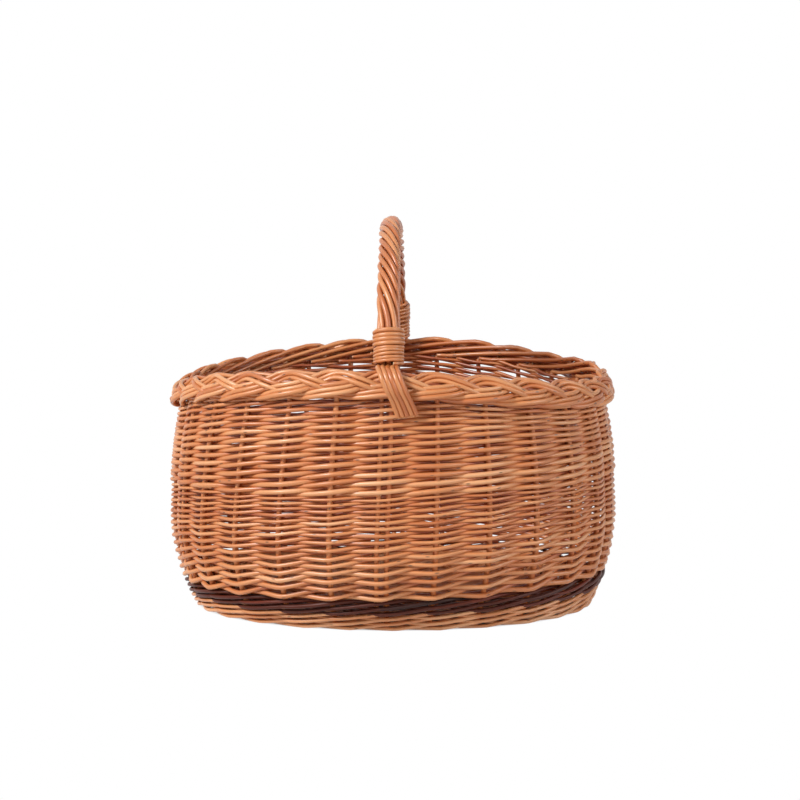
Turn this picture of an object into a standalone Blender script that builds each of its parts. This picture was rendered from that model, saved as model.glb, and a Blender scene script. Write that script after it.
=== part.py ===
"""Oval willow foraging basket with a fixed roped bow handle.

The part stands on the floor at Z = 0, its long side along X and its handle across the middle, along Y.
The front is at -Y. A wall place is given by an angle round the oval and a share of the wall's height.
Every weave is a corrugated run that passes in front of one stake and behind the next.
"""

import math

import bpy
import numpy as np

# Overall sizes, in metres
BASE_LENGTH = 0.380
BASE_WIDTH = 0.230
BELLY_LENGTH = 0.423
BELLY_WIDTH = 0.326
BELLY_HEIGHT = 0.090
MOUTH_INSET_ENDS = 0.0115
MOUTH_INSET_SIDES = 0.010
MOUTH_LENGTH = BELLY_LENGTH - 2.0 * MOUTH_INSET_ENDS
MOUTH_WIDTH = BELLY_WIDTH - 2.0 * MOUTH_INSET_SIDES
MOUTH_HEIGHT = 0.200
WALL_HEIGHT_ENDS = 0.192
WALL_HEIGHT_SIDES = 0.2095
HANDLE_TOP = 0.369

# Levels of the bands of weave, measured at the basket's ends
FOOT_HEIGHT = 0.021
DARK_BAND_HEIGHT = 0.012
SIDING_JOIN_HEIGHT = 0.125
ROW_LEAN = 0.005
LEAN_START_SHARE = 0.15
LEAN_END_SHARE = 0.60

# Clearances
FIT_GAP = 0.0003
TURN_GAP = 0.0004

# Stakes
STAKE_COUNT = 28
STAKE_DIAMETER = 0.0048
STAKE_BEND_POINTS = 8
STAKE_RIM_POINTS = 4
TWIN_SPACING = 0.0086
STAKE_FOOT_CLEARANCE = 0.003
STAKE_SPREAD_FOOT = 0.067
STAKE_SPREAD_RIM = 0.029
STAKE_SPREAD_SECOND_WAVE = 0.4
STAKE_TWIST = 0.029

# Rows of weave
SIDING_THICKNESS = 0.0038
WALE_THICKNESS = 0.0048
FOOT_ROWS = 3
DARK_ROWS = 2
LOWER_ROWS = 24
LOWER_LAST_ROW_SHARE = 0.62
UPPER_ROWS = 18
UPPER_LAST_ROW_SHARE = 0.75

# Plaited border
BORDER_STRAND_DIAMETER = 0.0084
BORDER_RISE = 0.0090
BORDER_DEPTH = 0.0064
BORDER_OVERHANG = 0.0062
BORDER_STRANDS = 3
BORDER_POINTS_PER_STAKE = 3

# Handle
BOW_DIAMETER = 0.0092
BOW_LEG_DIAMETER = 0.0060
BOW_TIP_DIAMETER = 0.0030
BOW_LEG_BELOW_RIM = 0.070
BOW_LEG_POINTS = 5
BOW_ARCH_POINTS = 29
ARCH_SAMPLES = 721
ROD_COUNT = 7
ROD_DIAMETER = 0.0052
ROD_STEPS_DOWN_LEG = 18
ROD_POINTS_PER_TURN = 8
BINDING_CORD_DIAMETER = 0.0026
BINDING_PITCH = 0.0035
BINDING_TURNS = 9
BINDING_ABOVE_BORDER = 0.0085
BINDING_POINTS_PER_TURN = 12
BINDING_STEPS = 3
FAN_LEAN = 0.019
FAN_SPREAD = 0.0062
FAN_TUCK_BELOW_BORDER = 0.008
FAN_CREST_DROP = 0.0005
FAN_SHOULDER_INSET = 0.0016
FAN_LEAN_SHARES = (0.12, 0.25, 0.40, 0.55, 0.75, 0.90, 1.0)
FANNED_PLACES = 2
INNER_ROD_LENGTH = 0.030

# Base
BASE_LEVEL = 0.027
CROSS_STICK_COUNT = 5
CROSS_STICK_DIAMETER = 0.0080
CROSS_STICK_SPACING = 0.036
CROSS_STICK_SIDES = 8
LONG_STICK_COUNT = 3
LONG_STICK_DIAMETER = 0.0044
LONG_STICK_FAN_START = 0.082
FAN_END_SHARE = 0.82
BASE_ROWS = 10
BASE_WEAVER_THICKNESS = 0.0030
BASE_HUB_LENGTH = 0.212
BASE_HUB_WIDTH = 0.040
BASE_PACKING_SHARE = 0.90
BASE_TURN_GAP = 0.0011
SLOPE_STEP = 0.001
SLOT_OVERRUN = 0.010

FULL_TURN = 2.0 * math.pi
QUARTER_TURN = 0.5 * math.pi

COLLECTION_NAME = "foraging_basket"
GUIDES_NAME = "guides_and_cutters"


# Scene and materials
def clear_scene():
    for old in list(bpy.data.objects):
        bpy.data.objects.remove(old, do_unlink=True)


def new_collection(name):
    collection = bpy.data.collections.new(name)
    bpy.context.scene.collection.children.link(collection)
    return collection


def willow(name, colour, roughness=0.55):
    material = bpy.data.materials.new(name)
    material.use_nodes = True
    shader = material.node_tree.nodes["Principled BSDF"]
    shader.inputs["Base Color"].default_value = (*colour, 1.0)
    shader.inputs["Roughness"].default_value = roughness
    shader.inputs["Metallic"].default_value = 0.0
    material.diffuse_color = (*colour, 1.0)
    return material


# Linear colours: peeled buff willow, its paler rods, and rods with the bark left on
BUFF = (0.60, 0.30, 0.14)
PALE = (0.68, 0.38, 0.20)
BARK = (0.045, 0.024, 0.022)


# Curves swept into rods and flat weavers
def section_guide(name, half_thickness, half_height, flat_foot=False):
    """A lens with four corners, thin across the wall and tall along it; a flat foot squares its bottom."""
    curve = bpy.data.curves.new(name, "CURVE")
    curve.dimensions = "2D"
    spline = curve.splines.new("POLY")
    bottom = ((0.5 * half_thickness, -half_height), (-0.5 * half_thickness, -half_height))
    bottom = bottom if flat_foot else ((0.0, -half_height),)
    corners = ((half_thickness, 0.0), *bottom, (-half_thickness, 0.0), (0.0, half_height))
    spline.points.add(len(corners) - 1)
    for point, corner in zip(spline.points, corners):
        point.co = (*corner, 0.0, 1.0)
    spline.use_cyclic_u = True
    guide = bpy.data.objects.new(name, curve)
    guide.hide_render = True
    guide.display_type = "WIRE"
    guides.objects.link(guide)
    return guide


def sweep(name, points, colour, diameter=0.0, scales=None, closed=False, guide=None, smoothness=1):
    """A rod, or with a guide a flat weaver, along a list of points."""
    curve = bpy.data.curves.new(name, "CURVE")
    curve.dimensions = "3D"
    curve.use_fill_caps = True
    spline = curve.splines.new("POLY")
    spline.points.add(len(points) - 1)
    for index, (point, place) in enumerate(zip(spline.points, points)):
        point.co = (*(float(value) for value in place), 1.0)
        point.radius = 1.0 if scales is None else float(scales[index])
    spline.use_cyclic_u = closed
    spline.use_smooth = True
    if guide is None:
        curve.bevel_depth = 0.5 * diameter
        curve.bevel_resolution = smoothness
    else:
        curve.twist_mode = "Z_UP"
        curve.bevel_mode = "OBJECT"
        curve.bevel_object = guide
    rod = bpy.data.objects.new(name, curve)
    curve.materials.append(willow(name, colour))
    parts.objects.link(rod)
    return rod


# The wall's oval shell
def half_size(level, base, belly, mouth):
    """Half an outer size at a level: a quarter sine from the base to the belly, then a square fall."""
    rise = np.clip(level / BELLY_HEIGHT, 0.0, 1.0)
    fall = np.maximum(level - BELLY_HEIGHT, 0.0) / (MOUTH_HEIGHT - BELLY_HEIGHT)
    below = base + (belly - base) * np.sin(QUARTER_TURN * rise)
    return 0.5 * (below - (belly - mouth) * fall ** 2)


def row_level(angle, share):
    """Height of a row: level at the foot, lifted at the sides under the rim, leaning up to +X between."""
    lift = (WALL_HEIGHT_SIDES - WALL_HEIGHT_ENDS) * np.sin(angle) ** 2 * share ** 3
    lean = np.interp(share, (0.0, LEAN_START_SHARE, LEAN_END_SHARE, 1.0), (0.0, 1.0, 1.0, 0.0))
    return share * WALL_HEIGHT_ENDS + lift + ROW_LEAN * lean * np.cos(angle)


WALL_DEPTH = 0.5 * STAKE_DIAMETER + TURN_GAP + FIT_GAP + SIDING_THICKNESS


def oval_point(angle, level, offset):
    """A place at a level, offset outwards from the line of the stakes."""
    half_x = half_size(level, BASE_LENGTH, BELLY_LENGTH, MOUTH_LENGTH) - WALL_DEPTH
    half_y = half_size(level, BASE_WIDTH, BELLY_WIDTH, MOUTH_WIDTH) - WALL_DEPTH
    across = np.cos(angle) / half_x
    along = np.sin(angle) / half_y
    length = np.hypot(across, along)
    x = half_x * np.cos(angle) + offset * across / length
    y = half_y * np.sin(angle) + offset * along / length
    return np.stack(np.broadcast_arrays(x, y, level), axis=-1)


def slope_factor(angle, level):
    """How much further out a level offset lies, where the wall leans, than one square to the wall."""
    step = oval_point(angle, level + SLOPE_STEP, 0.0) - oval_point(angle, level, 0.0)
    outward = oval_point(angle, level, SLOPE_STEP) - oval_point(angle, level, 0.0)
    slope = np.sum(step * outward, axis=-1) / SLOPE_STEP ** 2
    return np.hypot(1.0, slope)


def stake_angle(index):
    return FULL_TURN * index / STAKE_COUNT - QUARTER_TURN


def settled(angle, share):
    """Where a stake really stands: crowded a little towards the ends, and pulled to one side lower down."""
    spread = STAKE_SPREAD_FOOT + (STAKE_SPREAD_RIM - STAKE_SPREAD_FOOT) * share
    waves = np.sin(2.0 * angle) + STAKE_SPREAD_SECOND_WAVE * np.sin(4.0 * angle)
    return angle - spread * waves - STAKE_TWIST * (1.0 - share)


TWIN_ANGLE = TWIN_SPACING / MOUTH_LENGTH
TWIN_STATION_ANGLE = (TWIN_SPACING + STAKE_DIAMETER) / MOUTH_LENGTH
HANDLE_STAKES = (0, STAKE_COUNT // 2)


def weave_stations():
    """Angles where a weaver passes a stake, and the stake's number; a handle stake is two, passed as one."""
    angles = []
    numbers = []
    for index in range(STAKE_COUNT):
        spreads = (-TWIN_STATION_ANGLE, TWIN_STATION_ANGLE) if index in HANDLE_STAKES else (0.0,)
        for spread in spreads:
            angles.append(stake_angle(index) + spread)
            numbers.append(index)
    return np.array(angles), np.array(numbers)


STATION_ANGLES, STATION_NUMBERS = weave_stations()
STATION_COUNT = len(STATION_ANGLES)


def weaver_path(steps, low_shares, high_shares, thickness, nominal, odd):
    """Points and section scales of a weaver that steps from station to station, front and back in turn."""
    angles = settled(STATION_ANGLES[steps % STATION_COUNT], 0.5 * (low_shares + high_shares))
    fronts = np.where((STATION_NUMBERS[steps % STATION_COUNT] + odd) % 2 == 0, 1.0, -1.0)
    low = row_level(angles, low_shares)
    high = row_level(angles, high_shares)
    scales = (high - low - FIT_GAP) / nominal
    middle = 0.5 * (low + high)
    offsets = 0.5 * STAKE_DIAMETER + FIT_GAP + TURN_GAP + 0.5 * thickness * scales
    return oval_point(angles, middle, fronts * offsets * slope_factor(angles, middle)), scales


def weaver_ring(name, low_height, row_height, thickness, odd, colour, flat_foot=False):
    """One closed row of weave."""
    low_share = low_height / WALL_HEIGHT_ENDS
    high_share = (low_height + row_height) / WALL_HEIGHT_ENDS
    nominal = row_height - FIT_GAP
    guide = section_guide(name + "_section", 0.5 * thickness, 0.5 * nominal, flat_foot)
    points, scales = weaver_path(
        np.arange(STATION_COUNT), low_share, high_share, thickness, nominal, odd)
    return sweep(name, points, colour, scales=scales, closed=True, guide=guide)


def stacked(row, rows, last_row_share):
    """Share of a band's height that lies below a row, where rows thin evenly from the first to the last."""
    return row * (1.0 - 0.5 * (1.0 - last_row_share) * row / rows) / (0.5 * (1.0 + last_row_share) * rows)


def chased_weavers(name, low_height, high_height, rows, last_row_share, thickness, first_odd, colour):
    """Two long weavers that chase each other up the wall, in alternate rows that thin upwards."""
    low_share = low_height / WALL_HEIGHT_ENDS
    band_share = high_height / WALL_HEIGHT_ENDS - low_share
    nominal = (high_height - low_height) / rows - FIT_GAP
    guide = section_guide(name + "_section", 0.5 * thickness, 0.5 * nominal)
    half_round = STATION_COUNT // 2
    length = (rows - 1) * half_round
    for number, start in enumerate((0, half_round)):
        steps = start + np.arange(length + 1)
        climb = 2.0 * (steps - start) / STATION_COUNT
        low_shares = low_share + band_share * stacked(climb, rows, last_row_share)
        high_shares = low_share + band_share * stacked(climb + 1.0, rows, last_row_share)
        odd = first_odd + number
        points, scales = weaver_path(steps, low_shares, high_shares, thickness, nominal, odd)
        sweep(f"{name}_{number + 1}", points, colour, scales=scales, guide=guide)


# Wall pieces
def make_stakes():
    bend = np.linspace(STAKE_FOOT_CLEARANCE, BELLY_HEIGHT, STAKE_BEND_POINTS)
    rim = np.linspace(BELLY_HEIGHT, WALL_HEIGHT_ENDS, STAKE_RIM_POINTS + 1)[1:]
    shares = np.concatenate((bend, rim)) / WALL_HEIGHT_ENDS
    places = []
    for index in range(STAKE_COUNT):
        if index in HANDLE_STAKES:
            side = "front" if index == 0 else "back"
            places.append((f"handle_stake_{side}_1", stake_angle(index) - TWIN_ANGLE))
            places.append((f"handle_stake_{side}_2", stake_angle(index) + TWIN_ANGLE))
        else:
            places.append((f"stake_{index:02d}", stake_angle(index)))
    for name, angle in places:
        angles = settled(angle, shares)
        line = oval_point(angles, row_level(angles, shares), 0.0)
        sweep(name, line, BUFF, diameter=STAKE_DIAMETER, smoothness=0)


def make_foot_and_wale():
    row_height = FOOT_HEIGHT / FOOT_ROWS
    sunk = 0.5 * FIT_GAP
    weaver_ring("foot_wale_1", -sunk, row_height + sunk, WALE_THICKNESS, 0, PALE, flat_foot=True)
    for row in range(1, FOOT_ROWS):
        weaver_ring(f"foot_wale_{row + 1}", row * row_height, row_height, WALE_THICKNESS, row, PALE)
    row_height = DARK_BAND_HEIGHT / DARK_ROWS
    for row in range(DARK_ROWS):
        low = FOOT_HEIGHT + row * row_height
        weaver_ring(f"dark_wale_{row + 1}", low, row_height, WALE_THICKNESS, FOOT_ROWS + row, BARK)


def make_siding():
    start = FOOT_HEIGHT + DARK_BAND_HEIGHT
    join = SIDING_JOIN_HEIGHT
    odd = FOOT_ROWS + DARK_ROWS
    last = LOWER_LAST_ROW_SHARE
    chased_weavers("lower_siding", start, join, LOWER_ROWS, last, SIDING_THICKNESS, odd, BUFF)
    odd += LOWER_ROWS
    top = WALL_HEIGHT_ENDS
    last = UPPER_LAST_ROW_SHARE
    chased_weavers("upper_siding", join, top, UPPER_ROWS, last, SIDING_THICKNESS, odd, BUFF)


# Border
BORDER_HALF_HEIGHT = BORDER_RISE + 0.5 * BORDER_STRAND_DIAMETER
BORDER_HALF_DEPTH = BORDER_DEPTH + 0.5 * BORDER_STRAND_DIAMETER


def border_level(angle):
    return row_level(angle, 1.0) + FIT_GAP + BORDER_HALF_HEIGHT


def make_border():
    """A plait of three strands that is one strand going round three times, lowest over each stake."""
    count = BORDER_STRANDS * STAKE_COUNT * BORDER_POINTS_PER_STAKE
    steps = np.arange(count)
    angles = settled(FULL_TURN * BORDER_STRANDS * steps / count - QUARTER_TURN, 1.0)
    phases = FULL_TURN * STAKE_COUNT * steps / count - QUARTER_TURN
    middle = border_level(angles)
    centre = oval_point(angles, middle, BORDER_OVERHANG - BORDER_DEPTH * np.sin(2.0 * phases))
    centre[:, 2] += BORDER_RISE * np.sin(phases)
    sweep("plaited_border", centre, PALE, diameter=BORDER_STRAND_DIAMETER, closed=True, smoothness=0)


# Handle
FRONT = -QUARTER_TURN
RIM_LEVEL = float(border_level(FRONT))
BORDER_TOP = RIM_LEVEL + BORDER_HALF_HEIGHT
LEG_INSET = WALL_DEPTH + SIDING_THICKNESS + FIT_GAP
LEG_REACH = -float(oval_point(FRONT, RIM_LEVEL, -LEG_INSET)[1])
BINDING_START = BORDER_TOP + BINDING_ABOVE_BORDER
BINDING_LENGTH = BINDING_PITCH * (BINDING_TURNS + 1)
ROD_REACH = 0.5 * (BOW_DIAMETER + ROD_DIAMETER) + FIT_GAP + TURN_GAP
ROD_CIRCLE = ROD_REACH / math.cos(math.pi / ROD_POINTS_PER_TURN)
BOW_TOP = HANDLE_TOP - ROD_CIRCLE - 0.5 * ROD_DIAMETER
ROD_STEP_ANGLE = FULL_TURN / ROD_COUNT


def bow_arch():
    """Places, outward directions and lengths along the half ellipse from the front leg to the back one."""
    turn = np.linspace(-1.0, 1.0, ARCH_SAMPLES) * QUARTER_TURN
    rise = BOW_TOP - BORDER_TOP
    places = np.stack((0.0 * turn, LEG_REACH * np.sin(turn), BORDER_TOP + rise * np.cos(turn)), axis=1)
    outward = np.stack((0.0 * turn, rise * np.sin(turn), LEG_REACH * np.cos(turn)), axis=1)
    outward /= np.linalg.norm(outward, axis=1)[:, None]
    steps = np.linalg.norm(np.diff(places, axis=0), axis=1)
    return places, outward, np.concatenate(((0.0,), np.cumsum(steps)))


ARCH_PLACES, ARCH_OUTWARD, ARCH_LENGTHS = bow_arch()
ARCH_LENGTH = float(ARCH_LENGTHS[-1])


def arch_at(length):
    """The arch's place and outward direction at a length along it."""
    place = np.stack([np.interp(length, ARCH_LENGTHS, ARCH_PLACES[:, axis]) for axis in range(3)], axis=-1)
    outward = np.stack([np.interp(length, ARCH_LENGTHS, ARCH_OUTWARD[:, axis]) for axis in range(3)], axis=-1)
    return place, outward / np.linalg.norm(outward, axis=-1, keepdims=True)


def around_arch(length, angle, radius):
    """A place round the bow; angle 0 is outwards, a quarter turn is towards +X."""
    place, outward = arch_at(length)
    side = np.array((1.0, 0.0, 0.0))
    return place + radius * (np.cos(angle)[:, None] * outward + np.sin(angle)[:, None] * side)


def turned_about(points):
    """The same points on the back of the basket: half a turn about the upright axis."""
    return points * np.array((-1.0, -1.0, 1.0))


def make_bow():
    """The handle's thick core, with legs that taper down inside the wall."""
    levels = np.linspace(RIM_LEVEL - BOW_LEG_BELOW_RIM, RIM_LEVEL - BORDER_HALF_HEIGHT, BOW_LEG_POINTS)
    leg = oval_point(np.full(BOW_LEG_POINTS, FRONT), levels, -LEG_INSET)
    leg[:, 1] += 0.5 * BOW_LEG_DIAMETER
    lengths = np.linspace(0.0, ARCH_LENGTH, BOW_ARCH_POINTS)
    arch, _ = arch_at(lengths)
    points = np.concatenate((leg, arch, turned_about(leg)[::-1]))
    leg_scales = np.linspace(BOW_TIP_DIAMETER, BOW_LEG_DIAMETER, BOW_LEG_POINTS) / BOW_DIAMETER
    scales = np.concatenate((leg_scales, np.ones(len(arch)), leg_scales[::-1]))
    sweep("handle_bow", points, BUFF, diameter=BOW_DIAMETER, scales=scales)


def fan_points(place):
    """One end of a rod below the binding, from its tip up; place counts round the bow, 0 outermost."""
    start_angle = place * ROD_STEP_ANGLE
    rod = 0.5 * ROD_DIAMETER
    clear = rod + FIT_GAP
    start = around_arch(np.array((BINDING_START - BORDER_TOP,)), np.array((start_angle,)), ROD_CIRCLE)[0]
    if abs(place) > FANNED_PLACES:
        tip = start - np.array((0.0, 0.0, INNER_ROD_LENGTH))
        return np.stack((tip, start))
    rim = float(oval_point(FRONT, RIM_LEVEL, BORDER_OVERHANG)[1])
    tuck = RIM_LEVEL - BORDER_HALF_HEIGHT - FAN_TUCK_BELOW_BORDER
    wall = float(oval_point(FRONT, tuck, WALL_DEPTH)[1])
    crest = BORDER_TOP + clear
    face = rim - BORDER_HALF_DEPTH - clear
    half = 0.5 * BORDER_HALF_HEIGHT
    route = (
        (0.5 * (start[1] + rim), crest + 0.5 * clear),
        (rim - half, crest - FAN_CREST_DROP),
        (face + FAN_SHOULDER_INSET, RIM_LEVEL + BORDER_HALF_HEIGHT),
        (face - FIT_GAP, RIM_LEVEL + half),
        (face - FIT_GAP, RIM_LEVEL - half),
        (0.5 * (face + wall) - clear, RIM_LEVEL - BORDER_HALF_HEIGHT),
        (wall - clear, tuck),
    )
    points = [start]
    if abs(place) > 1:
        points.append(np.array((place * FAN_SPREAD, start[1], start[2] - rod)))
    for (y, z), lean_share in zip(route, FAN_LEAN_SHARES):
        points.append(np.array((place * FAN_SPREAD + lean_share * FAN_LEAN, y, z)))
    return np.array(points[::-1])


def make_rope():
    """Seven rods laid round the bow, held under both bindings and fanned over the border's outside."""
    low = BINDING_START - BORDER_TOP + BINDING_LENGTH
    lengths = np.linspace(low, ARCH_LENGTH - low, 2 * ROD_STEPS_DOWN_LEG + 1)
    from_middle = np.linspace(-1.0, 1.0, len(lengths))
    bound = np.linspace(BINDING_START - BORDER_TOP, low, BINDING_STEPS + 1)[1:-1]
    lengths = np.concatenate((bound, lengths, ARCH_LENGTH - bound[::-1]))
    from_middle = np.concatenate((-np.ones(len(bound)), from_middle, np.ones(len(bound))))
    twist = ROD_STEPS_DOWN_LEG * FULL_TURN / ROD_POINTS_PER_TURN
    twist = round(twist / ROD_STEP_ANGLE) * ROD_STEP_ANGLE
    turns_places = round(twist / ROD_STEP_ANGLE)
    for rod in range(ROD_COUNT):
        front_place = wrapped_place(rod + turns_places)
        back_place = wrapped_place(turns_places - rod)
        angles = rod * ROD_STEP_ANGLE - twist * from_middle
        rope = around_arch(lengths, angles, ROD_CIRCLE)
        front = fan_points(front_place)
        back = turned_about(fan_points(back_place))[::-1]
        sweep(f"handle_rod_{rod + 1}", np.concatenate((front, rope, back)), PALE,
              diameter=ROD_DIAMETER, smoothness=0)


def wrapped_place(place):
    """A rod's place round the bow as a number from -3 to 3."""
    return (place + ROD_COUNT // 2) % ROD_COUNT - ROD_COUNT // 2


def make_bindings():
    """A wound cord round each leg and its rods, one unbroken tube each."""
    inner = ROD_CIRCLE + 0.5 * ROD_DIAMETER + FIT_GAP
    radius = inner / math.cos(math.pi / BINDING_POINTS_PER_TURN) + 0.5 * BINDING_CORD_DIAMETER
    steps = np.arange(BINDING_TURNS * BINDING_POINTS_PER_TURN + 1)
    angles = FULL_TURN * steps / BINDING_POINTS_PER_TURN
    start = BINDING_START - BORDER_TOP + 0.5 * BINDING_PITCH
    lengths = start + BINDING_PITCH * steps / BINDING_POINTS_PER_TURN
    winding = around_arch(lengths, angles, radius)
    apart = winding[BINDING_POINTS_PER_TURN:] - winding[:-BINDING_POINTS_PER_TURN]
    least = float(np.linalg.norm(apart, axis=1).min()) - BINDING_CORD_DIAMETER
    print(f"least gap between turns of a binding: {least:.5f} m")
    sweep("binding_front", winding, PALE, diameter=BINDING_CORD_DIAMETER, smoothness=0)
    sweep("binding_back", turned_about(winding), PALE, diameter=BINDING_CORD_DIAMETER, smoothness=0)


# Base
def inside_wall(level_at_ends, level_at_sides):
    """Half length and half width just inside the foot and the dark rows at these levels."""
    half_sizes = []
    for axis, angle, level in ((0, 0.0, level_at_ends), (1, QUARTER_TURN, level_at_sides)):
        middle = 0.5 * (STAKE_DIAMETER + WALE_THICKNESS) + FIT_GAP + TURN_GAP
        depth = middle * slope_factor(angle, level) + 0.5 * WALE_THICKNESS + FIT_GAP
        half_sizes.append(float(oval_point(angle, level, -depth)[axis]))
    return half_sizes


DARK_FIRST_ROW_LEVEL = FOOT_HEIGHT + 0.5 * DARK_BAND_HEIGHT / DARK_ROWS
BASE_DEPTH = 0.5 * CROSS_STICK_DIAMETER + BASE_TURN_GAP + 2.0 * BASE_WEAVER_THICKNESS
BASE_UNDERSIDE = BASE_LEVEL - BASE_DEPTH
BASE_HALF_LENGTH, BASE_HALF_WIDTH = inside_wall(BASE_LEVEL - ROW_LEAN, DARK_FIRST_ROW_LEVEL)
WEAVE_HALF_LENGTH, WEAVE_HALF_WIDTH = inside_wall(BASE_UNDERSIDE, BASE_UNDERSIDE)
LONG_STICK_PITCH = LONG_STICK_DIAMETER + FIT_GAP


def cross_stick_places():
    middle = (CROSS_STICK_COUNT - 1) // 2
    return [(index - middle) * CROSS_STICK_SPACING for index in range(CROSS_STICK_COUNT)]


def long_fan_end():
    """Where an outer long stick ends on the base's edge."""
    return FAN_END_SHARE * WEAVE_HALF_LENGTH, WEAVE_HALF_WIDTH * math.sqrt(1.0 - FAN_END_SHARE ** 2)


def make_base_sticks():
    slot_width = LONG_STICK_COUNT * LONG_STICK_PITCH + FIT_GAP
    slot_height = LONG_STICK_DIAMETER + 2.0 * FIT_GAP
    slot_length = 2.0 * (LONG_STICK_FAN_START + SLOT_OVERRUN)
    bpy.ops.mesh.primitive_cube_add(size=1.0, location=(0.0, 0.0, BASE_LEVEL))
    slot = bpy.context.object
    slot.name = "cross_stick_slot"
    slot.dimensions = (slot_length, slot_width, slot_height)
    slot.hide_render = True
    slot.display_type = "WIRE"
    move_to(slot, guides)
    for number, x in enumerate(cross_stick_places()):
        half = WEAVE_HALF_WIDTH * math.sqrt(1.0 - (x / WEAVE_HALF_LENGTH) ** 2) if x else BASE_HALF_WIDTH
        bpy.ops.mesh.primitive_cylinder_add(
            vertices=CROSS_STICK_SIDES, radius=0.5 * CROSS_STICK_DIAMETER, depth=2.0 * half,
            location=(x, 0.0, BASE_LEVEL), rotation=(QUARTER_TURN, 0.0, 0.0))
        stick = bpy.context.object
        stick.name = f"base_cross_stick_{number + 1}"
        stick.data.materials.append(willow(stick.name, BUFF))
        cut = stick.modifiers.new("slot", "BOOLEAN")
        cut.operation = "DIFFERENCE"
        cut.solver = "EXACT"
        cut.object = slot
        move_to(stick, parts)
    end_x, end_y = long_fan_end()
    for number in range(LONG_STICK_COUNT):
        side = number - (LONG_STICK_COUNT - 1) // 2
        near = side * LONG_STICK_PITCH
        reach = end_x if side else BASE_HALF_LENGTH
        half_run = ((reach, side * end_y), (LONG_STICK_FAN_START, near))
        other_run = ((-LONG_STICK_FAN_START, near), (-reach, side * end_y))
        points = [(x, y, BASE_LEVEL) for x, y in half_run + other_run]
        sweep(f"base_long_stick_{number + 1}", points, BUFF, diameter=LONG_STICK_DIAMETER)


def move_to(item, collection):
    for old in list(item.users_collection):
        old.objects.unlink(item)
    collection.objects.link(item)


def fan_crossing(half_x, half_y):
    """Where an outer long stick crosses an oval of these half sizes, in the +X +Y quarter."""
    end_x, end_y = long_fan_end()
    run = np.array((end_x - LONG_STICK_FAN_START, end_y - LONG_STICK_PITCH))
    start = np.array((LONG_STICK_FAN_START, LONG_STICK_PITCH))
    scale = np.array((half_x, half_y))
    a = float(np.sum((run / scale) ** 2))
    b = 2.0 * float(np.sum(run * start / scale ** 2))
    c = float(np.sum((start / scale) ** 2)) - 1.0
    share = (math.sqrt(b * b - 4.0 * a * c) - b) / (2.0 * a)
    return start + share * run


def base_stations(half_x, half_y):
    """Crossings of one oval round with every stick, in turn from +X, with each stick's radius."""
    quarter = []
    crossing = fan_crossing(half_x, half_y)
    fan_angle = math.atan2(crossing[1] / half_y, crossing[0] / half_x)
    thin = 0.5 * LONG_STICK_DIAMETER
    thick = 0.5 * CROSS_STICK_DIAMETER
    quarter.append((0.0, thin))
    quarter.append((fan_angle, thin))
    for x in sorted(cross_stick_places(), reverse=True):
        quarter.append((math.acos(x / half_x), thick))
    quarter.append((math.pi - fan_angle, thin))
    return quarter + [(angle + math.pi, radius) for angle, radius in quarter]


def make_base_weave():
    """Two weavers that chase each other outwards round the sticks, over one and under the next."""
    hub_x = 0.5 * BASE_HUB_LENGTH
    hub_y = 0.5 * BASE_HUB_WIDTH
    pitch_x = (WEAVE_HALF_LENGTH - hub_x) / BASE_ROWS
    pitch_y = (WEAVE_HALF_WIDTH - hub_y) / BASE_ROWS
    stations = len(base_stations(hub_x, hub_y))
    nominal = pitch_x - FIT_GAP
    guide = section_guide("base_weave_section", 0.5 * nominal, 0.5 * BASE_WEAVER_THICKNESS)
    half_round = stations // 2
    for odd, start in ((0, 0), (1, half_round)):
        points = []
        scales = []
        for step in range(start, start + (BASE_ROWS - 1) * half_round + 1):
            row = 0.5 + 2.0 * (step - start) / stations
            half_x = hub_x + row * pitch_x
            half_y = hub_y + row * pitch_y
            angle, radius = base_stations(half_x, half_y)[step % stations]
            turn = np.array((math.cos(angle) / half_x, math.sin(angle) / half_y))
            turn /= np.linalg.norm(turn)
            pitch = pitch_x * math.cos(angle) * turn[0] + pitch_y * math.sin(angle) * turn[1]
            scale = (BASE_PACKING_SHARE * pitch - FIT_GAP) / nominal
            over = 1.0 if (step + odd) % 2 == 0 else -1.0
            lift = radius + FIT_GAP + BASE_TURN_GAP + 0.5 * BASE_WEAVER_THICKNESS * scale
            points.append((half_x * math.cos(angle), half_y * math.sin(angle), BASE_LEVEL + over * lift))
            scales.append(scale)
        sweep(f"base_weave_{odd + 1}", points, PALE, scales=scales, guide=guide)


clear_scene()
parts = new_collection(COLLECTION_NAME)
guides = new_collection(GUIDES_NAME)
make_stakes()
make_foot_and_wale()
make_siding()
make_border()
make_bow()
make_rope()
make_bindings()
make_base_sticks()
make_base_weave()
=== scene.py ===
"""Oval willow foraging basket: every rod of the finished basket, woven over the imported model.

Run as a script in Blender 4.5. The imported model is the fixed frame. The long side lies along X, the front
is at -Y and the handle crosses along Y. Lengths are in metres and angles in radians. A place on the wall is
a turn round the oval, where -90 degrees is the middle of the front, and a share of the wall's height. A
tone is a rod's shade, from 0 for the palest of its kind to 1 for the darkest.
"""

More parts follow.
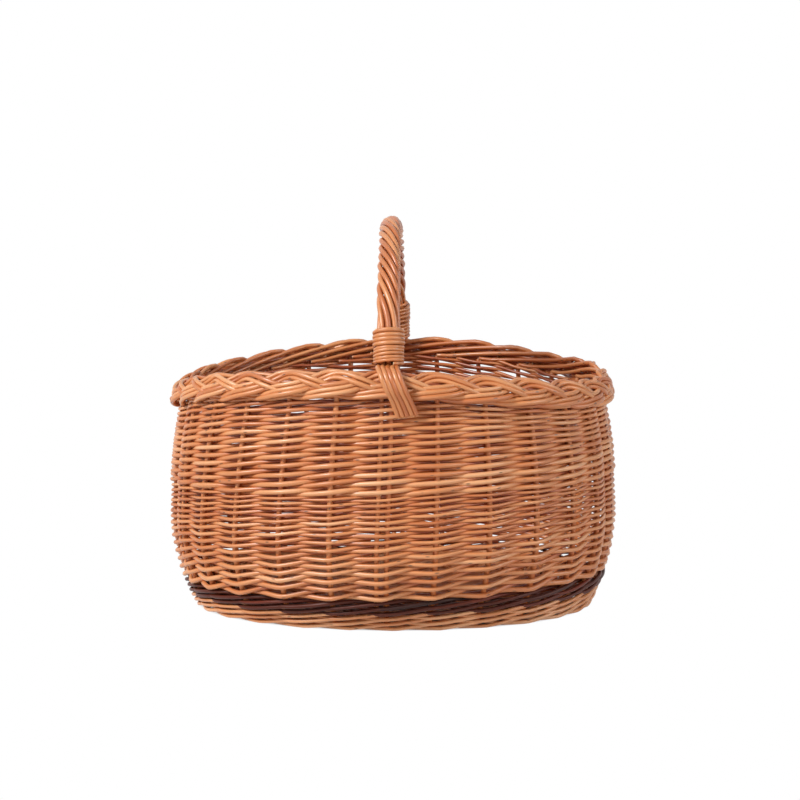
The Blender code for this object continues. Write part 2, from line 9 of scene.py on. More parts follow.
import bpy
import numpy as np
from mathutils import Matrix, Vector


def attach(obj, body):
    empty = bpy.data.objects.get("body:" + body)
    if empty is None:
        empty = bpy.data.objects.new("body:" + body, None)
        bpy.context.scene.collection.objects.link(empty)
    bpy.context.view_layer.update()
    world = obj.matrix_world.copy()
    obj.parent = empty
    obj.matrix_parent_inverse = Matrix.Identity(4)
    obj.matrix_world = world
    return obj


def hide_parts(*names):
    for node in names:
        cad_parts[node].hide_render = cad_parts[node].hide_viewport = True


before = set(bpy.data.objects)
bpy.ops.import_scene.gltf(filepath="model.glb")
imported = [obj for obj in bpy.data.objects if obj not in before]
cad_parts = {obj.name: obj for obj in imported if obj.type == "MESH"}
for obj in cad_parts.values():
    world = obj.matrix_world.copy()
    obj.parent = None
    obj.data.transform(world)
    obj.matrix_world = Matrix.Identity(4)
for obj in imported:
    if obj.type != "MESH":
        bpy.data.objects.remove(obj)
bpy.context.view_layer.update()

bl_info = {
    "name": "Willow Foraging Basket",
    "version": (1, 0, 0),
    "blender": (4, 5, 0),
    "location": "3D View > Sidebar > Basket",
    "description": "Weaves an oval willow foraging basket with a plaited border and a roped handle",
    "category": "Add Mesh",
}

# The oval shell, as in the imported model
BASE_SIZE = (0.371, 0.238)
BELLY_SIZE = (0.423, 0.326)
MOUTH_SIZE = (0.400, 0.306)
BELLY_HEIGHT = 0.090
BELLY_SWELL_POWER = 0.90
MOUTH_HEIGHT = 0.200
WALL_HEIGHT_ENDS = 0.192
WALL_HEIGHT_SIDES = 0.2095
STAKE_LINE_DEPTH = 0.0069
FOOT_HEIGHT = 0.0190
DARK_BAND_HEIGHT = 0.0110
SIDING_JOIN_HEIGHT = 0.125

# How the hand-made wall strays from the even oval
ROW_LEAN = 0.005
LEAN_SHARES = (0.0, 0.15, 0.60, 1.0)
BACK_RISE = 0.0034
BACK_RISE_TURN = 0.15
RIM_TWIST = 0.0028
END_TWIST = 0.0062
END_TWIST_TURNS = (0.22, 3.20)
END_TWIST_POWER = 24
# Each wave: its height in shares, its waves round the oval and up the wall, and its start
WALL_WAVES = ((0.0026, 5.0, 21.0, 0.6), (0.0020, 9.0, -33.0, 2.1), (0.0013, 17.0, 12.0, 4.0))

# Stakes
STAKE_COUNT = 28
STAKE_SPREAD_FOOT = 0.067
STAKE_SPREAD_RIM = 0.029
STAKE_SPREAD_SECOND_WAVE = 0.4
STAKE_TWIST = 0.029
STAKE_DRIFT = 0.012
STAKE_SHARES = (0.016, 1.045)
STAKE_BEND = 0.0070
STAKE_BEND_SHARES = (0.99, 1.04)
STAKE_BEND_POWER = 1.5
STAKE_WAVER = 0.0016
STAKE_WAVER_WAVES = (5.0, 9.0)
STAKE_TAPER = 0.12
STAKE_RINGS = 50
TWIN_SPREAD = 0.0215
TWIN_THICKNESS_SHARE = 0.86

# Siding, with places along a rod counted in stakes
POINTS_PER_STAKE = 9
CLIMB_STEPS = 400
BUTT_START = -0.35
RAGGED_TIPS = 0.9
ROW_STRAY = 0.0006
ROD_STRAY = 0.0010
BOW_SHARES = (0.16, 0.22, 0.55, 0.66)
BOW_RISES = (0.00380, 0.00278, 0.00211, 0.00051)
BOW_STRAIGHTNESS = 0.97
WEAVE_STRAIGHTNESS = 0.96
TIP_HALF_SHARE = 0.4
TIP_THICKER = 0.12
TIP_DARKER = 0.14
PRESSED_SHARE = 0.92
# Painted shade: siding rods are darkened where they pass inside a stake, deep in the weave
INSIDE_START = 0.25
INSIDE_PAINTED_SHADE = 0.50
LOWER_LAYERS = 31
LOWER_TAPER = ((0.0, 0.2, 0.4, 0.6, 0.8, 1.0), (1.0, 0.85, 0.74, 0.62, 0.56, 0.47))
LOWER_TIPS_OVER = 0.006
UPPER_LAYERS = 27
UPPER_TAPER = ((0.0, 0.25, 0.5, 0.75, 1.0), (1.0, 0.97, 0.86, 0.76, 0.64))
UPPER_BUTTS_UNDER = 0.018
UPPER_END_SHARE = 1.035

# Wale, with places along a row counted in stakes
FOOT_ROWS = 3
DARK_ROWS = 2
WALE_REPEAT = 3
WALE_MIDDLE = 1.0 / 3.0
WALE_COSINES = (1.125, -0.2083)
WALE_SINE = -0.12
WALE_LIFT_SHARE = 0.86
WALE_LIFT_LEAD = 0.25
WALE_UNEVEN = 0.10
WALE_WAVES_SHARE = 0.35
WALE_TILT_SHARE = 0.35
WALE_RODS = 12
WALE_ROD_STAKES = (7.0, 12.0)

# Plaited border, with places along a rod counted in stakes from where it joins a strand
BORDER_OUT = 0.0056
BORDER_UP = 0.0140
BORDER_LEAN = np.radians(16.0)
STAKE_PITCH = 0.044
STRAND_RISE = 0.0086
STRAND_DEPTH = 0.0036
STRAND_EDGE_LIFT = 0.0016
STRAND_STRAIGHTNESS = 0.85
STRAND_LAG = 0.5
STRAND_SLOW_START = 0.08
STRAND_SLOW_EDGES = 0.10
STRAND_STRAY = 0.0003
STRAND_REPEAT = 3.0
LANE_PLACES = (-1.0, 1.9, 3.2, 4.9, 6.2, 12.0)
LANE_SPACING_SHARE = 0.98
BORDER_START = 0.55
BORDER_STRAY = 0.035
BORDER_POINTS_PER_STAKE = 10
BORDER_TAPER = (1.02, 0.96, 0.80)
JOIN_PLACE = -0.95
JOIN_DROP = 0.0010
JOIN_DEPTH = 0.0072
TURN_OVER_PLACE = 7.25
PLAIT_END_PLACE = 7.5
TAIL_LENGTH = 2.9
TAIL_DROP = 0.0165
TAIL_DROP_POWER = 1.15
TAIL_DEPTHS = (0.0016, 0.0052, 0.0022)
TAIL_SOON = 2.2
HOOP_LEVELS = (0.0030, -0.0040)
HOOP_DEPTH = 0.0042
HOOP_RADIUS_SHARE = 0.55
HOOP_POINTS_PER_STAKE = 6

# Handle
HANDLE_TOP = 0.3687
BOW_DEPTH = 0.0142
BORDER_TOP = 0.2362
LEG_REACH = 0.1345
LEG_SHARES = (0.68, 0.78, 0.88, 0.97)
LEG_DEPTH = 0.0078
CORE_RADIUS = 0.0048
CORE_TIP_RADIUS = 0.0015
CORE_SHOULDER_SHARE = 1.0 / 1.5
CORE_RINGS = 120
CORE_TAPER_RINGS = (0, 20, 26, 94, 100, 119)
HANDLE_RODS = 8
ROPE_CIRCLE = 0.0077
ROPE_PLACES = 10
ROPE_WANDER = 0.0004
ROPE_WANDER_WAVES = (40.0, 90.0)
ROPE_POINTS = 150
# The turn round the bow, as shares of the distance from the top raised to one, three and five
ROPE_TWIST = ((1, 0.75), (3, 0.85), (5, -0.60))
HANDLE_ROD_RINGS = 330
HANDLE_ROD_TAPER = ((0, 50, 280, 329), (0.82, 1.0, 1.0, 0.82))
HANDLE_SHIFT = 0.0003
HANDLE_SKEW = 0.0006
HANDLE_TOP_SHIFT = -0.0017
BINDING_START = 0.2385
BINDING_LENGTH = 0.0345
BINDING_CIRCLE = 0.0120
BINDING_TURNS = 9.63
BINDING_POINTS = 281
BINDING_GAP = 0.0012
BINDING_ANGLE = 0.4
BINDING_DROOP = 0.0017
BINDING_SEAM = 0.3
BINDING_RIPPLE = 0.0002
BINDING_RIPPLE_WAVES = 0.37
BINDING_LOBES = 0.0003
BINDING_FLATNESS = 0.80
# Each by the turns wrapped so far: the climb, the distance added, the share of the droop, the thickness
BINDING_CLIMB = ((0.0, 5.0, 6.0, 9.3, 9.7), (0.0, 0.0140, 0.0178, 0.0292, 0.0322))
BINDING_ADDED = ((0.0, 4.8, 5.6, 9.0, 9.7), (0.0003, 0.0, 0.0006, 0.0004, 0.0))
BINDING_DROOPED = ((0.0, 4.5, 5.5, 10.0), (1.0, 1.0, 0.15, 0.0))
BINDING_TAPER = ((0.0, 5.0, 6.0, 9.0, 9.7), (0.84, 0.86, 1.08, 1.08, 0.8))
BACK_BINDING_LONGER = 1.2
FAN_PLACES = 2
FAN_FACE_DEPTH = 0.0092
FAN_SPACING_SHARE = 0.84
FAN_MIDDLE = -0.0020
FAN_SWEEP = 0.0186
FAN_SWEEP_POWER = 1.8
INNER_ROD_DROPS = (0.010, 0.026)

# Base
BASE_LEVEL = 0.027
BASE_HALF_X = 0.1845
BASE_HALF_Y = 0.1125
CROSS_STICK_PLACES = (-0.072, -0.036, 0.0, 0.036, 0.072)
CROSS_STICK_RADIUS = 0.0039
CROSS_STICK_RINGS = 30
LONG_STICK_RADIUS = 0.0023
LONG_STICK_RINGS = 60
LONG_STICK_SPACING = 0.0047
LONG_STICK_BENDS = (0.07, 0.10)
LONG_STICK_BEND_SPREAD = 1.5
LONG_STICK_FAN_SHARE = 0.82
STICK_TAPER = 0.18
HUB_HALF_X = 0.094
HUB_HALF_Y = 0.0085
HUB_FAN_REACHES = (0.09, 0.10)
HUB_FAN_TURNS = (0.30, 0.34)
HUB_SQUARENESS = 3.2
SQUARENESS_FALL = 1.2
SQUARENESS_FALL_POWER = 0.7
BASE_ROUNDS = 30
BASE_ROUND_POINTS = 240
BASE_SWING_SHARE = 0.42

# The thinnest and the thickest rod of a kind as shares of its size, and its palest and darkest tone
STAKE_UNEVEN = (0.94, 1.06)
SIDING_UNEVEN = (0.93, 1.07)
BORDER_UNEVEN = (0.93, 1.07)
HANDLE_UNEVEN = (0.94, 1.04)
ROUND_UNEVEN = (0.9, 1.05)
STAKE_TONES = (0.30, 0.72)
FOOT_TONES = (0.12, 0.45)
DARK_TONES = (0.1, 0.9)
SIDING_TONES = (0.06, 0.52)
BORDER_TONES = (0.18, 0.64)
# Painted shade on border rods where they lie inside the plait
BORDER_INSIDE_PAINTED_SHADE = 0.12
# The hoops inside the plait are drawn in this darkest tone as painted shade
HOOP_PAINTED_SHADE_TONE = 0.95
HANDLE_TONES = (0.32, 0.70)
CORE_TONE = 0.5
BINDING_TONES = (0.35, 0.5)
STICK_TONES = (0.4, 0.7)
ROUND_TONES = (0.2, 0.6)

# The wood's own pattern: width and length in millimetres
STREAK_MM = (0.8, 22.22)
PATCH_MM = (6.25, 71.43)
SCAR_MM = (4.762, 16.13)
STREAK_TONE = 0.34
PATCH_TONE = 0.70
SCAR_COLOUR = "#5B3018"
SCAR_EDGES = (0.07, 0.17)
SCAR_STRENGTH = 0.85
STREAK_GLOSS = 0.07
GRAIN_SHIFT = 0.5

# The camera, worked out from the photograph's 800 pixels
CAMERA_DISTANCE = 1.80
CAMERA_HEIGHT = 0.415
CAMERA_TURN = np.radians(1.3)
CAMERA_PITCH = np.radians(7.06)
CAMERA_SENSOR_MM = 36.0
PICTURE_PIXELS = 800.0
FOCAL_PIXELS = 1932.0
MIDDLE_SHIFT_PIXELS = 7.3

# Each lamp: its name, its place, its size and its power in watts
LAMPS = (
    ("key_light", (-2.12, -1.64, 2.20), 0.8, 103.0),
    ("front_card", (0.2, -3.0, 0.12), 1.2, 8.0),
    ("fill_light", (2.65, -1.45, 1.4), 1.6, 38.0),
)
LIGHT_AIM = (0.0, 0.0, 0.13)
ROOM_LEVEL = 0.03
FLOOR_REACH = 6.0
FLOOR_DROP = 0.0004
FLOOR_CLEAR_SHARE = 0.93
PAPER_COLOUR = "#E2DED8"

QUARTER = 0.5 * np.pi
FULL = 2.0 * np.pi
STEP = FULL / STAKE_COUNT
FRONT = -QUARTER
NEAR = 1e-4
ACROSS = np.array((1.0, 0.0, 0.0))
UP = np.array((0.0, 0.0, 1.0))
WHITE = (1.0, 1.0, 1.0, 1.0)
ROD_SIDES = 8
BEVEL_DEPTH_SHARE = 0.35
BEVEL_WIDTH_SHARE = 0.72
# A Mix node names its sockets alike for numbers, vectors and colours, so the colours go by number
MIX_FIRST, MIX_SECOND, MIX_RESULT = 6, 7, 2


def linear(code):
    """A colour written as sRGB hex, in the linear values that the shaders use."""
    values = np.array([int(code[place:place + 2], 16) for place in (1, 3, 5)]) / 255.0
    low = values / 12.92
    high = ((values + 0.055) / 1.055) ** 2.4
    return tuple(float(value) for value in np.where(values <= 0.04045, low, high))


# Shapes

def unit(vectors):
    """The same directions with length one."""
    return vectors / np.linalg.norm(vectors, axis=-1, keepdims=True)


def eased(part):
    """A share that starts and ends gently: three times its square less twice its cube."""
    return part * part * (3.0 - 2.0 * part)


def zigzag(wave, straightness):
    """A sine or cosine made nearly straight between its turns: the arcsine of the wave times straightness,
    over the arcsine of straightness."""
    return np.arcsin(straightness * wave) / np.arcsin(straightness)


def half_size(level, axis):
    """Half the shell's size at a level: a quarter sine, raised to a power, from base to belly, and then a
    square fall to the mouth."""
    base, belly, mouth = BASE_SIZE[axis], BELLY_SIZE[axis], MOUTH_SIZE[axis]
    rise = np.clip(level / BELLY_HEIGHT, NEAR, 1.0)
    swell = np.sin(QUARTER * rise) ** BELLY_SWELL_POWER
    fall = np.maximum(level - BELLY_HEIGHT, 0.0) / (MOUTH_HEIGHT - BELLY_HEIGHT)
    return 0.5 * (base + (belly - base) * swell - (belly - mouth) * fall ** 2)


def settled(turn, share):
    """Where a stake really stands: its even turn, crowded towards the ends and twisted a little lower down.
    The front and the back both stand a little to -X of it, as the rods were pulled that way."""
    spread = STAKE_SPREAD_FOOT + (STAKE_SPREAD_RIM - STAKE_SPREAD_FOOT) * share
    waves = np.sin(2.0 * turn) + STAKE_SPREAD_SECOND_WAVE * np.sin(4.0 * turn)
    return turn - spread * waves - STAKE_TWIST * (1.0 - share) + STAKE_DRIFT * np.sin(turn)


def stake_line(turn, share):
    """A place on the line of the stakes: the oval at the level of that share.

    The level is the share times the wall's height at the ends. Towards the rim it is lifted at both sides,
    as the square of the sine, and more behind. It is twisted there too, as the sine of twice the turn and by
    two narrow waves, one up at the right end and one down at the left. Rows of the siding lie higher at +X.
    """
    angle = settled(turn, share)
    under_rim = share ** 5
    lift = (WALL_HEIGHT_SIDES - WALL_HEIGHT_ENDS) * np.sin(angle) ** 2 * share ** 3
    lift = lift + BACK_RISE * np.clip(np.sin(angle - BACK_RISE_TURN), 0.0, 1.0) ** 2 * under_rim
    lift = lift + RIM_TWIST * np.sin(2.0 * angle) * under_rim
    right, left = (
        np.clip(np.cos(angle - end), 0.0, 1.0) ** END_TWIST_POWER for end in END_TWIST_TURNS)
    lift = lift + END_TWIST * (right - left) * under_rim
    lean = np.interp(share, LEAN_SHARES, (0.0, 1.0, 1.0, 0.0))
    level = share * WALL_HEIGHT_ENDS + lift + ROW_LEAN * lean * np.cos(angle)
    half_x = half_size(level, 0) - STAKE_LINE_DEPTH
    half_y = half_size(level, 1) - STAKE_LINE_DEPTH
    return np.stack((half_x * np.cos(angle), half_y * np.sin(angle), level), axis=-1)


def wall_place(turn, share, out):
    """A place out from the stake line along the wall's own outward direction, and that direction."""
    turn, share, out = np.broadcast_arrays(turn, share, out)
    here = stake_line(turn, share)
    along = stake_line(turn + NEAR, share) - here
    up = stake_line(turn, share + NEAR) - here
    outward = unit(np.cross(along, up))
    return here + out[..., None] * outward, outward


def through(points, count):
    """A smooth path through points: each span is a cubic whose slopes join the neighbours on both sides."""
    points = np.asarray(points, dtype=float)
    chords = np.linalg.norm(np.diff(points, axis=0), axis=1)
    knots = np.concatenate(((0.0,), np.cumsum(chords)))
    slopes = np.gradient(points, knots, axis=0)
    places = np.linspace(0.0, knots[-1], count)
    span = np.clip(np.searchsorted(knots, places, side="right") - 1, 0, len(chords) - 1)
    width = chords[span][:, None]
    part = (places - knots[span])[:, None] / width
    start, end = points[span], points[span + 1]
    return (
        (2 * part ** 3 - 3 * part ** 2 + 1) * start
        + (part ** 3 - 2 * part ** 2 + part) * width * slopes[span]
        + (3 * part ** 2 - 2 * part ** 3) * end
        + (part ** 3 - part ** 2) * width * slopes[span + 1]
    )


def fit_length(values, length):
    """Rows of values stretched to a number of rings, in straight steps between the values."""
    places = np.linspace(0.0, values.shape[1] - 1.0, length)
    low = places.astype(int)
    high = np.minimum(low + 1, values.shape[1] - 1)
    part = places - low
    return values[:, low] * (1.0 - part) + values[:, high] * part


def rods(paths, radii, towards, tones, closed=False, sides=ROD_SIDES, flat=1.0):
    """Rods carried along paths, as one set of rings.

    A ring is path + radius * (cos a * lift + sin a * side) for a going once round, where side is square to
    the path and to the towards direction, and lift to both; flat thins the rod along lift. An open rod is
    cut off with a narrow bevel. Each point keeps its place in the rod's own wood, which the grain follows.
    """
    paths = np.asarray(paths, dtype=float)
    count, length = paths.shape[:2]
    radii = np.broadcast_to(radii, (count, length)).astype(float)
    towards = np.broadcast_to(towards, paths.shape)
    if closed:
        tangents = unit(np.roll(paths, -1, axis=1) - np.roll(paths, 1, axis=1))
    else:
        tangents = unit(np.gradient(paths, axis=1))
        outwards = tangents[:, [0, -1]] * np.array((-1.0, 1.0))[None, :, None]
        bevel = BEVEL_DEPTH_SHARE * radii[:, [0, -1], None] * outwards
        narrow = BEVEL_WIDTH_SHARE * radii[:, [0, -1]]
        paths = np.concatenate((paths[:, :1] + bevel[:, :1], paths, paths[:, -1:] + bevel[:, 1:]), axis=1)
        radii = np.concatenate((narrow[:, :1], radii, narrow[:, 1:]), axis=1)
        tangents = np.concatenate((tangents[:, :1], tangents, tangents[:, -1:]), axis=1)
        towards = np.concatenate((towards[:, :1], towards, towards[:, -1:]), axis=1)
        length += 2
    side = unit(np.cross(tangents, towards))
    lift = np.cross(side, tangents)
    corner = FULL * np.arange(sides) / sides
    cosine, sine = np.cos(corner), np.sin(corner)
    ring = flat * cosine[:, None] * lift[:, :, None, :] + sine[:, None] * side[:, :, None, :]
    points = paths[:, :, None, :] + radii[:, :, None, None] * ring

    run = np.linalg.norm(np.diff(paths, axis=1), axis=2)
    along = np.concatenate((np.zeros((count, 1)), np.cumsum(run, axis=1)), axis=1)
    across = radii[:, :, None]
    grain = np.stack(np.broadcast_arrays(across * cosine, across * sine, along[:, :, None]), axis=-1)
    shift = np.random.default_rng(count * length).uniform(0.0, GRAIN_SHIFT, (count, 1, 1, 3))
    tones = np.asarray(tones, dtype=float).reshape(count, -1)
    tone = np.repeat(fit_length(tones, length)[:, :, None], sides, axis=2)
    cut = np.zeros((count, length, sides))

    index = np.arange(count * length * sides).reshape(count, length, sides)
    around = np.roll(index, -1, axis=2)
    if closed:
        quads = np.stack((index, around, np.roll(around, -1, axis=1), np.roll(index, -1, axis=1)), axis=-1)
        caps = np.zeros((0, sides), dtype=int)
    else:
        quads = np.stack((index[:, :-1], around[:, :-1], around[:, 1:], index[:, 1:]), axis=-1)
        caps = np.concatenate((index[:, 0, ::-1], index[:, -1]))
        cut[:, [0, -1]] = 1.0
    return {
        "points": points.reshape(-1, 3), "quads": quads.reshape(-1, 4), "caps": caps,
        "grain": (grain + shift).reshape(-1, 3), "tone": tone.ravel(), "cut": cut.ravel(),
    }


def add_piece(name, sets, material, replaced):
    """One object from several sets of rods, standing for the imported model's nodes of those names."""
    starts = np.cumsum([0] + [len(each["points"]) for each in sets])
    faces, smooth = [], []
    for each, start in zip(sets, starts):
        faces += (each["quads"] + start).tolist()
        smooth += [True] * len(each["quads"])
        faces += (each["caps"] + start).tolist()
        smooth += [False] * len(each["caps"])
    mesh = bpy.data.meshes.new(name)
    mesh.from_pydata(np.concatenate([each["points"] for each in sets]).tolist(), [], faces)
    mesh.polygons.foreach_set("use_smooth", smooth)
    grain = mesh.attributes.new("grain", "FLOAT_VECTOR", "POINT")
    grain.data.foreach_set("vector", np.concatenate([each["grain"] for each in sets]).ravel())
    for key in ("tone", "cut"):
        values = mesh.attributes.new(key, "FLOAT", "POINT")
        values.data.foreach_set("value", np.concatenate([each[key] for each in sets]))
    mesh.update()
    piece = bpy.data.objects.new(name, mesh)
    piece.data.materials.append(material)
    bpy.context.scene.collection.objects.link(piece)
    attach(piece, "root")
    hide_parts(*[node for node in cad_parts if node.startswith(replaced)])


# Materials

def add_node(tree, kind, inputs=(), **settings):
    """One node with its settings; each input is a value, or another node's socket to link from."""
    node = tree.nodes.new(kind)
    for key, value in settings.items():
        setattr(node, key, value)
    for key, value in dict(inputs).items():
        if isinstance(value, bpy.types.NodeSocket):
            tree.links.new(value, node.inputs[key])
        else:
            node.inputs[key].default_value = value
    return node


def per_metre(size_mm):
    """How often a pattern of that width and length comes in a metre, for the two directions across a rod
    and the one along it."""
    width, length = size_mm
    return 1000.0 / width, 1000.0 / width, 1000.0 / length


def willow(name, colours, end_colour, roughness, streak_depth, gleam):
    """Willow rods, each with its own shade, long fine streaks and slow patches in the wood, and small dark
    bud scars. The streaks are drawn a little coarser than real grain, so that they show. The cut ends show
    paler wood."""
    found = bpy.data.materials.get(name)
    if found:
        return found
    material = bpy.data.materials.new(name)
    material.use_nodes = True
    tree = material.node_tree
    tree.nodes.clear()
    grain = add_node(tree, "ShaderNodeAttribute", attribute_name="grain").outputs["Vector"]
    tone = add_node(tree, "ShaderNodeAttribute", attribute_name="tone").outputs["Fac"]
    cut = add_node(tree, "ShaderNodeAttribute", attribute_name="cut").outputs["Fac"]
    streak_place, patch_place, scar_place = (
        add_node(tree, "ShaderNodeMapping", {"Vector": grain, "Scale": per_metre(size)}).outputs["Vector"]
        for size in (STREAK_MM, PATCH_MM, SCAR_MM))
    streak = add_node(tree, "ShaderNodeTexNoise", {
        "Vector": streak_place, "Scale": 1.0, "Detail": 3.0, "Roughness": 0.6})
    patch = add_node(tree, "ShaderNodeTexNoise", {
        "Vector": patch_place, "Scale": 1.0, "Detail": 2.0, "Roughness": 0.5})
    scar = add_node(tree, "ShaderNodeTexVoronoi", {"Vector": scar_place, "Scale": 1.0})
    scar_mask = add_node(tree, "ShaderNodeMapRange", {
        "Value": scar.outputs["Distance"], "From Min": SCAR_EDGES[0], "From Max": SCAR_EDGES[1],
        "To Min": SCAR_STRENGTH, "To Max": 0.0})
    shade = tone
    for pattern, swing in ((streak, STREAK_TONE), (patch, PATCH_TONE)):
        change = add_node(tree, "ShaderNodeMath", {
            0: pattern.outputs["Fac"], 1: swing, 2: -0.5 * swing}, operation="MULTIPLY_ADD")
        shade = add_node(tree, "ShaderNodeMath", {
            0: shade, 1: change.outputs["Value"]}, operation="ADD").outputs["Value"]
    ramp = add_node(tree, "ShaderNodeValToRGB", {"Fac": shade})
    stops = ramp.color_ramp.elements
    for place in range(1, len(colours) - 1):
        stops.new(place / (len(colours) - 1))
    for stop, colour in zip(stops, colours):
        stop.color = (*colour, 1.0)
    scarred = add_node(tree, "ShaderNodeMix", {
        0: scar_mask.outputs["Result"], MIX_FIRST: ramp.outputs["Color"],
        MIX_SECOND: (*linear(SCAR_COLOUR), 1.0)}, data_type="RGBA")
    ended = add_node(tree, "ShaderNodeMix", {
        0: cut, MIX_FIRST: scarred.outputs[MIX_RESULT], MIX_SECOND: (*end_colour, 1.0)}, data_type="RGBA")
    height = add_node(tree, "ShaderNodeMath", {
        0: streak.outputs["Fac"], 1: scar_mask.outputs["Result"]}, operation="SUBTRACT")
    bump = add_node(tree, "ShaderNodeBump", {
        "Height": height.outputs["Value"], "Strength": 0.5, "Distance": streak_depth})
    gloss = add_node(tree, "ShaderNodeMapRange", {
        "Value": streak.outputs["Fac"], "From Min": 0.3, "From Max": 0.7,
        "To Min": roughness - STREAK_GLOSS, "To Max": roughness + STREAK_GLOSS})
    shader = add_node(tree, "ShaderNodeBsdfPrincipled", {
        "Base Color": ended.outputs[MIX_RESULT], "Roughness": gloss.outputs["Result"],
        "Specular IOR Level": gleam, "Normal": bump.outputs["Normal"]})
    add_node(tree, "ShaderNodeOutputMaterial", {"Surface": shader.outputs["BSDF"]})
    material.diffuse_color = (*colours[1], 1.0)
    return material


# What a maker would change

class BasketSizes(bpy.types.PropertyGroup):
    """Thicknesses of the rods."""
    stake: bpy.props.FloatProperty(
        name="Stake", description="Thickness of an upright rod", default=0.0052, unit="LENGTH")
    lower_butt: bpy.props.FloatProperty(
        name="Lower siding rod", description="Thick end of a lower siding rod", default=0.0046,
        unit="LENGTH")
    upper_butt: bpy.props.FloatProperty(
        name="Upper siding rod", description="Thick end of an upper siding rod", default=0.0043,
        unit="LENGTH")
    foot: bpy.props.FloatProperty(
        name="Foot rod", description="Thickness of a rod in the foot", default=0.0034, unit="LENGTH")
    dark: bpy.props.FloatProperty(
        name="Dark rod", description="Thickness of a rod in the dark band", default=0.0035, unit="LENGTH")
    border: bpy.props.FloatProperty(
        name="Border rod", description="Thickness of a rod in the border", default=0.0043, unit="LENGTH")
    handle: bpy.props.FloatProperty(
        name="Handle rod", description="Thickness of a rod laid round the handle", default=0.0048,
        unit="LENGTH")
    binding: bpy.props.FloatProperty(
        name="Binding rod", description="Thickness of the rod that binds the handle", default=0.0036,
        unit="LENGTH")
    base: bpy.props.FloatProperty(
        name="Base weaver", description="Thickness of a rod woven into the base", default=0.0037,
        unit="LENGTH")


class BasketColours(bpy.types.PropertyGroup):
    """Shades of the rods, from the palest to the darkest of each kind."""
    palest: bpy.props.FloatVectorProperty(
        name="Palest buff", description="Palest of the peeled rods", subtype="COLOR", min=0.0, max=1.0,
        default=linear("#EEB17F"))
    buff: bpy.props.FloatVectorProperty(
        name="Buff", description="Usual colour of the peeled rods", subtype="COLOR", min=0.0, max=1.0,
        default=linear("#DC9159"))
    tan: bpy.props.FloatVectorProperty(
        name="Tan", description="Darker peeled rods", subtype="COLOR", min=0.0, max=1.0,
        default=linear("#C7723B"))
    russet: bpy.props.FloatVectorProperty(
        name="Russet", description="Darkest of the peeled rods", subtype="COLOR", min=0.0, max=1.0,
        default=linear("#9F4B25"))
    bark: bpy.props.FloatVectorProperty(
        name="Bark", description="Rods with the bark left on", subtype="COLOR", min=0.0, max=1.0,
        default=linear("#54200F"))
    bark_pale: bpy.props.FloatVectorProperty(
        name="Pale bark", description="Rubbed patches on the bark", subtype="COLOR", min=0.0, max=1.0,
        default=linear("#7C3420"))
    bark_deep: bpy.props.FloatVectorProperty(
        name="Deep bark", description="Darkest bark", subtype="COLOR", min=0.0, max=1.0,
        default=linear("#2C0F08"))
    cut: bpy.props.FloatVectorProperty(
        name="Cut end", description="Fresh wood on a cut end", subtype="COLOR", min=0.0, max=1.0,
        default=linear("#E9C9A2"))


def peeled(context, name, roughness=0.38):
    """Buff willow, boiled in its bark and then peeled: warm tan, smooth, with a soft satin sheen."""
    colours = context.scene.basket_colours
    ladder = (colours.palest[:], colours.buff[:], colours.tan[:], colours.russet[:])
    return willow(name, ladder, colours.cut[:], roughness, streak_depth=0.00020, gleam=0.75)


def brown(context, name, roughness=0.42):
    """Brown willow, steamed with the bark on: purplish brown, with a dull grey gleam on the bark."""
    colours = context.scene.basket_colours
    ladder = (colours.bark_pale[:], colours.bark[:], colours.bark[:], colours.bark_deep[:])
    return willow(name, ladder, colours.cut[:], roughness, streak_depth=0.00035, gleam=0.28)


# Wall

def wall_waves(turn, share):
    """How far a row strays from its even height, in shares: slow sines that neighbouring rows share."""
    return sum(
        height * np.sin(round_waves * turn + up_waves * share + start)
        for height, round_waves, up_waves, start in WALL_WAVES)


def make_stakes(sizes):
    """Upright rods: lines up the wall at the even turns, two side by side at each foot of the handle. Each
    wavers round the oval as a slow sine of its height, thins upwards, and bends out under the border."""
    rng = np.random.default_rng(11)
    number = np.arange(STAKE_COUNT)
    copies = np.where(number % (STAKE_COUNT // 2) == 0, 2, 1)
    twins = np.repeat(copies == 2, copies)[:, None]
    turns = np.repeat(number * STEP + FRONT, copies)[:, None]
    turns[twins] += TWIN_SPREAD * np.tile((-1.0, 1.0), 2)
    shares = np.linspace(*STAKE_SHARES, STAKE_RINGS)[None, :]
    bend_start, bend_end = STAKE_BEND_SHARES
    bent = np.clip((shares - bend_start) / (bend_end - bend_start), 0.0, 1.0)
    waves = shares * rng.uniform(*STAKE_WAVER_WAVES, turns.shape) + rng.uniform(0.0, FULL, turns.shape)
    paths, outward = wall_place(
        turns + STAKE_WAVER * np.sin(waves), shares, STAKE_BEND * bent ** STAKE_BEND_POWER)
    radii = 0.5 * sizes.stake * np.where(twins, TWIN_THICKNESS_SHARE, 1.0)
    radii = radii * (1.0 + STAKE_TAPER * (0.5 - shares)) * rng.uniform(*STAKE_UNEVEN, turns.shape)
    return rods(paths, radii, outward, rng.uniform(*STAKE_TONES, len(turns)))


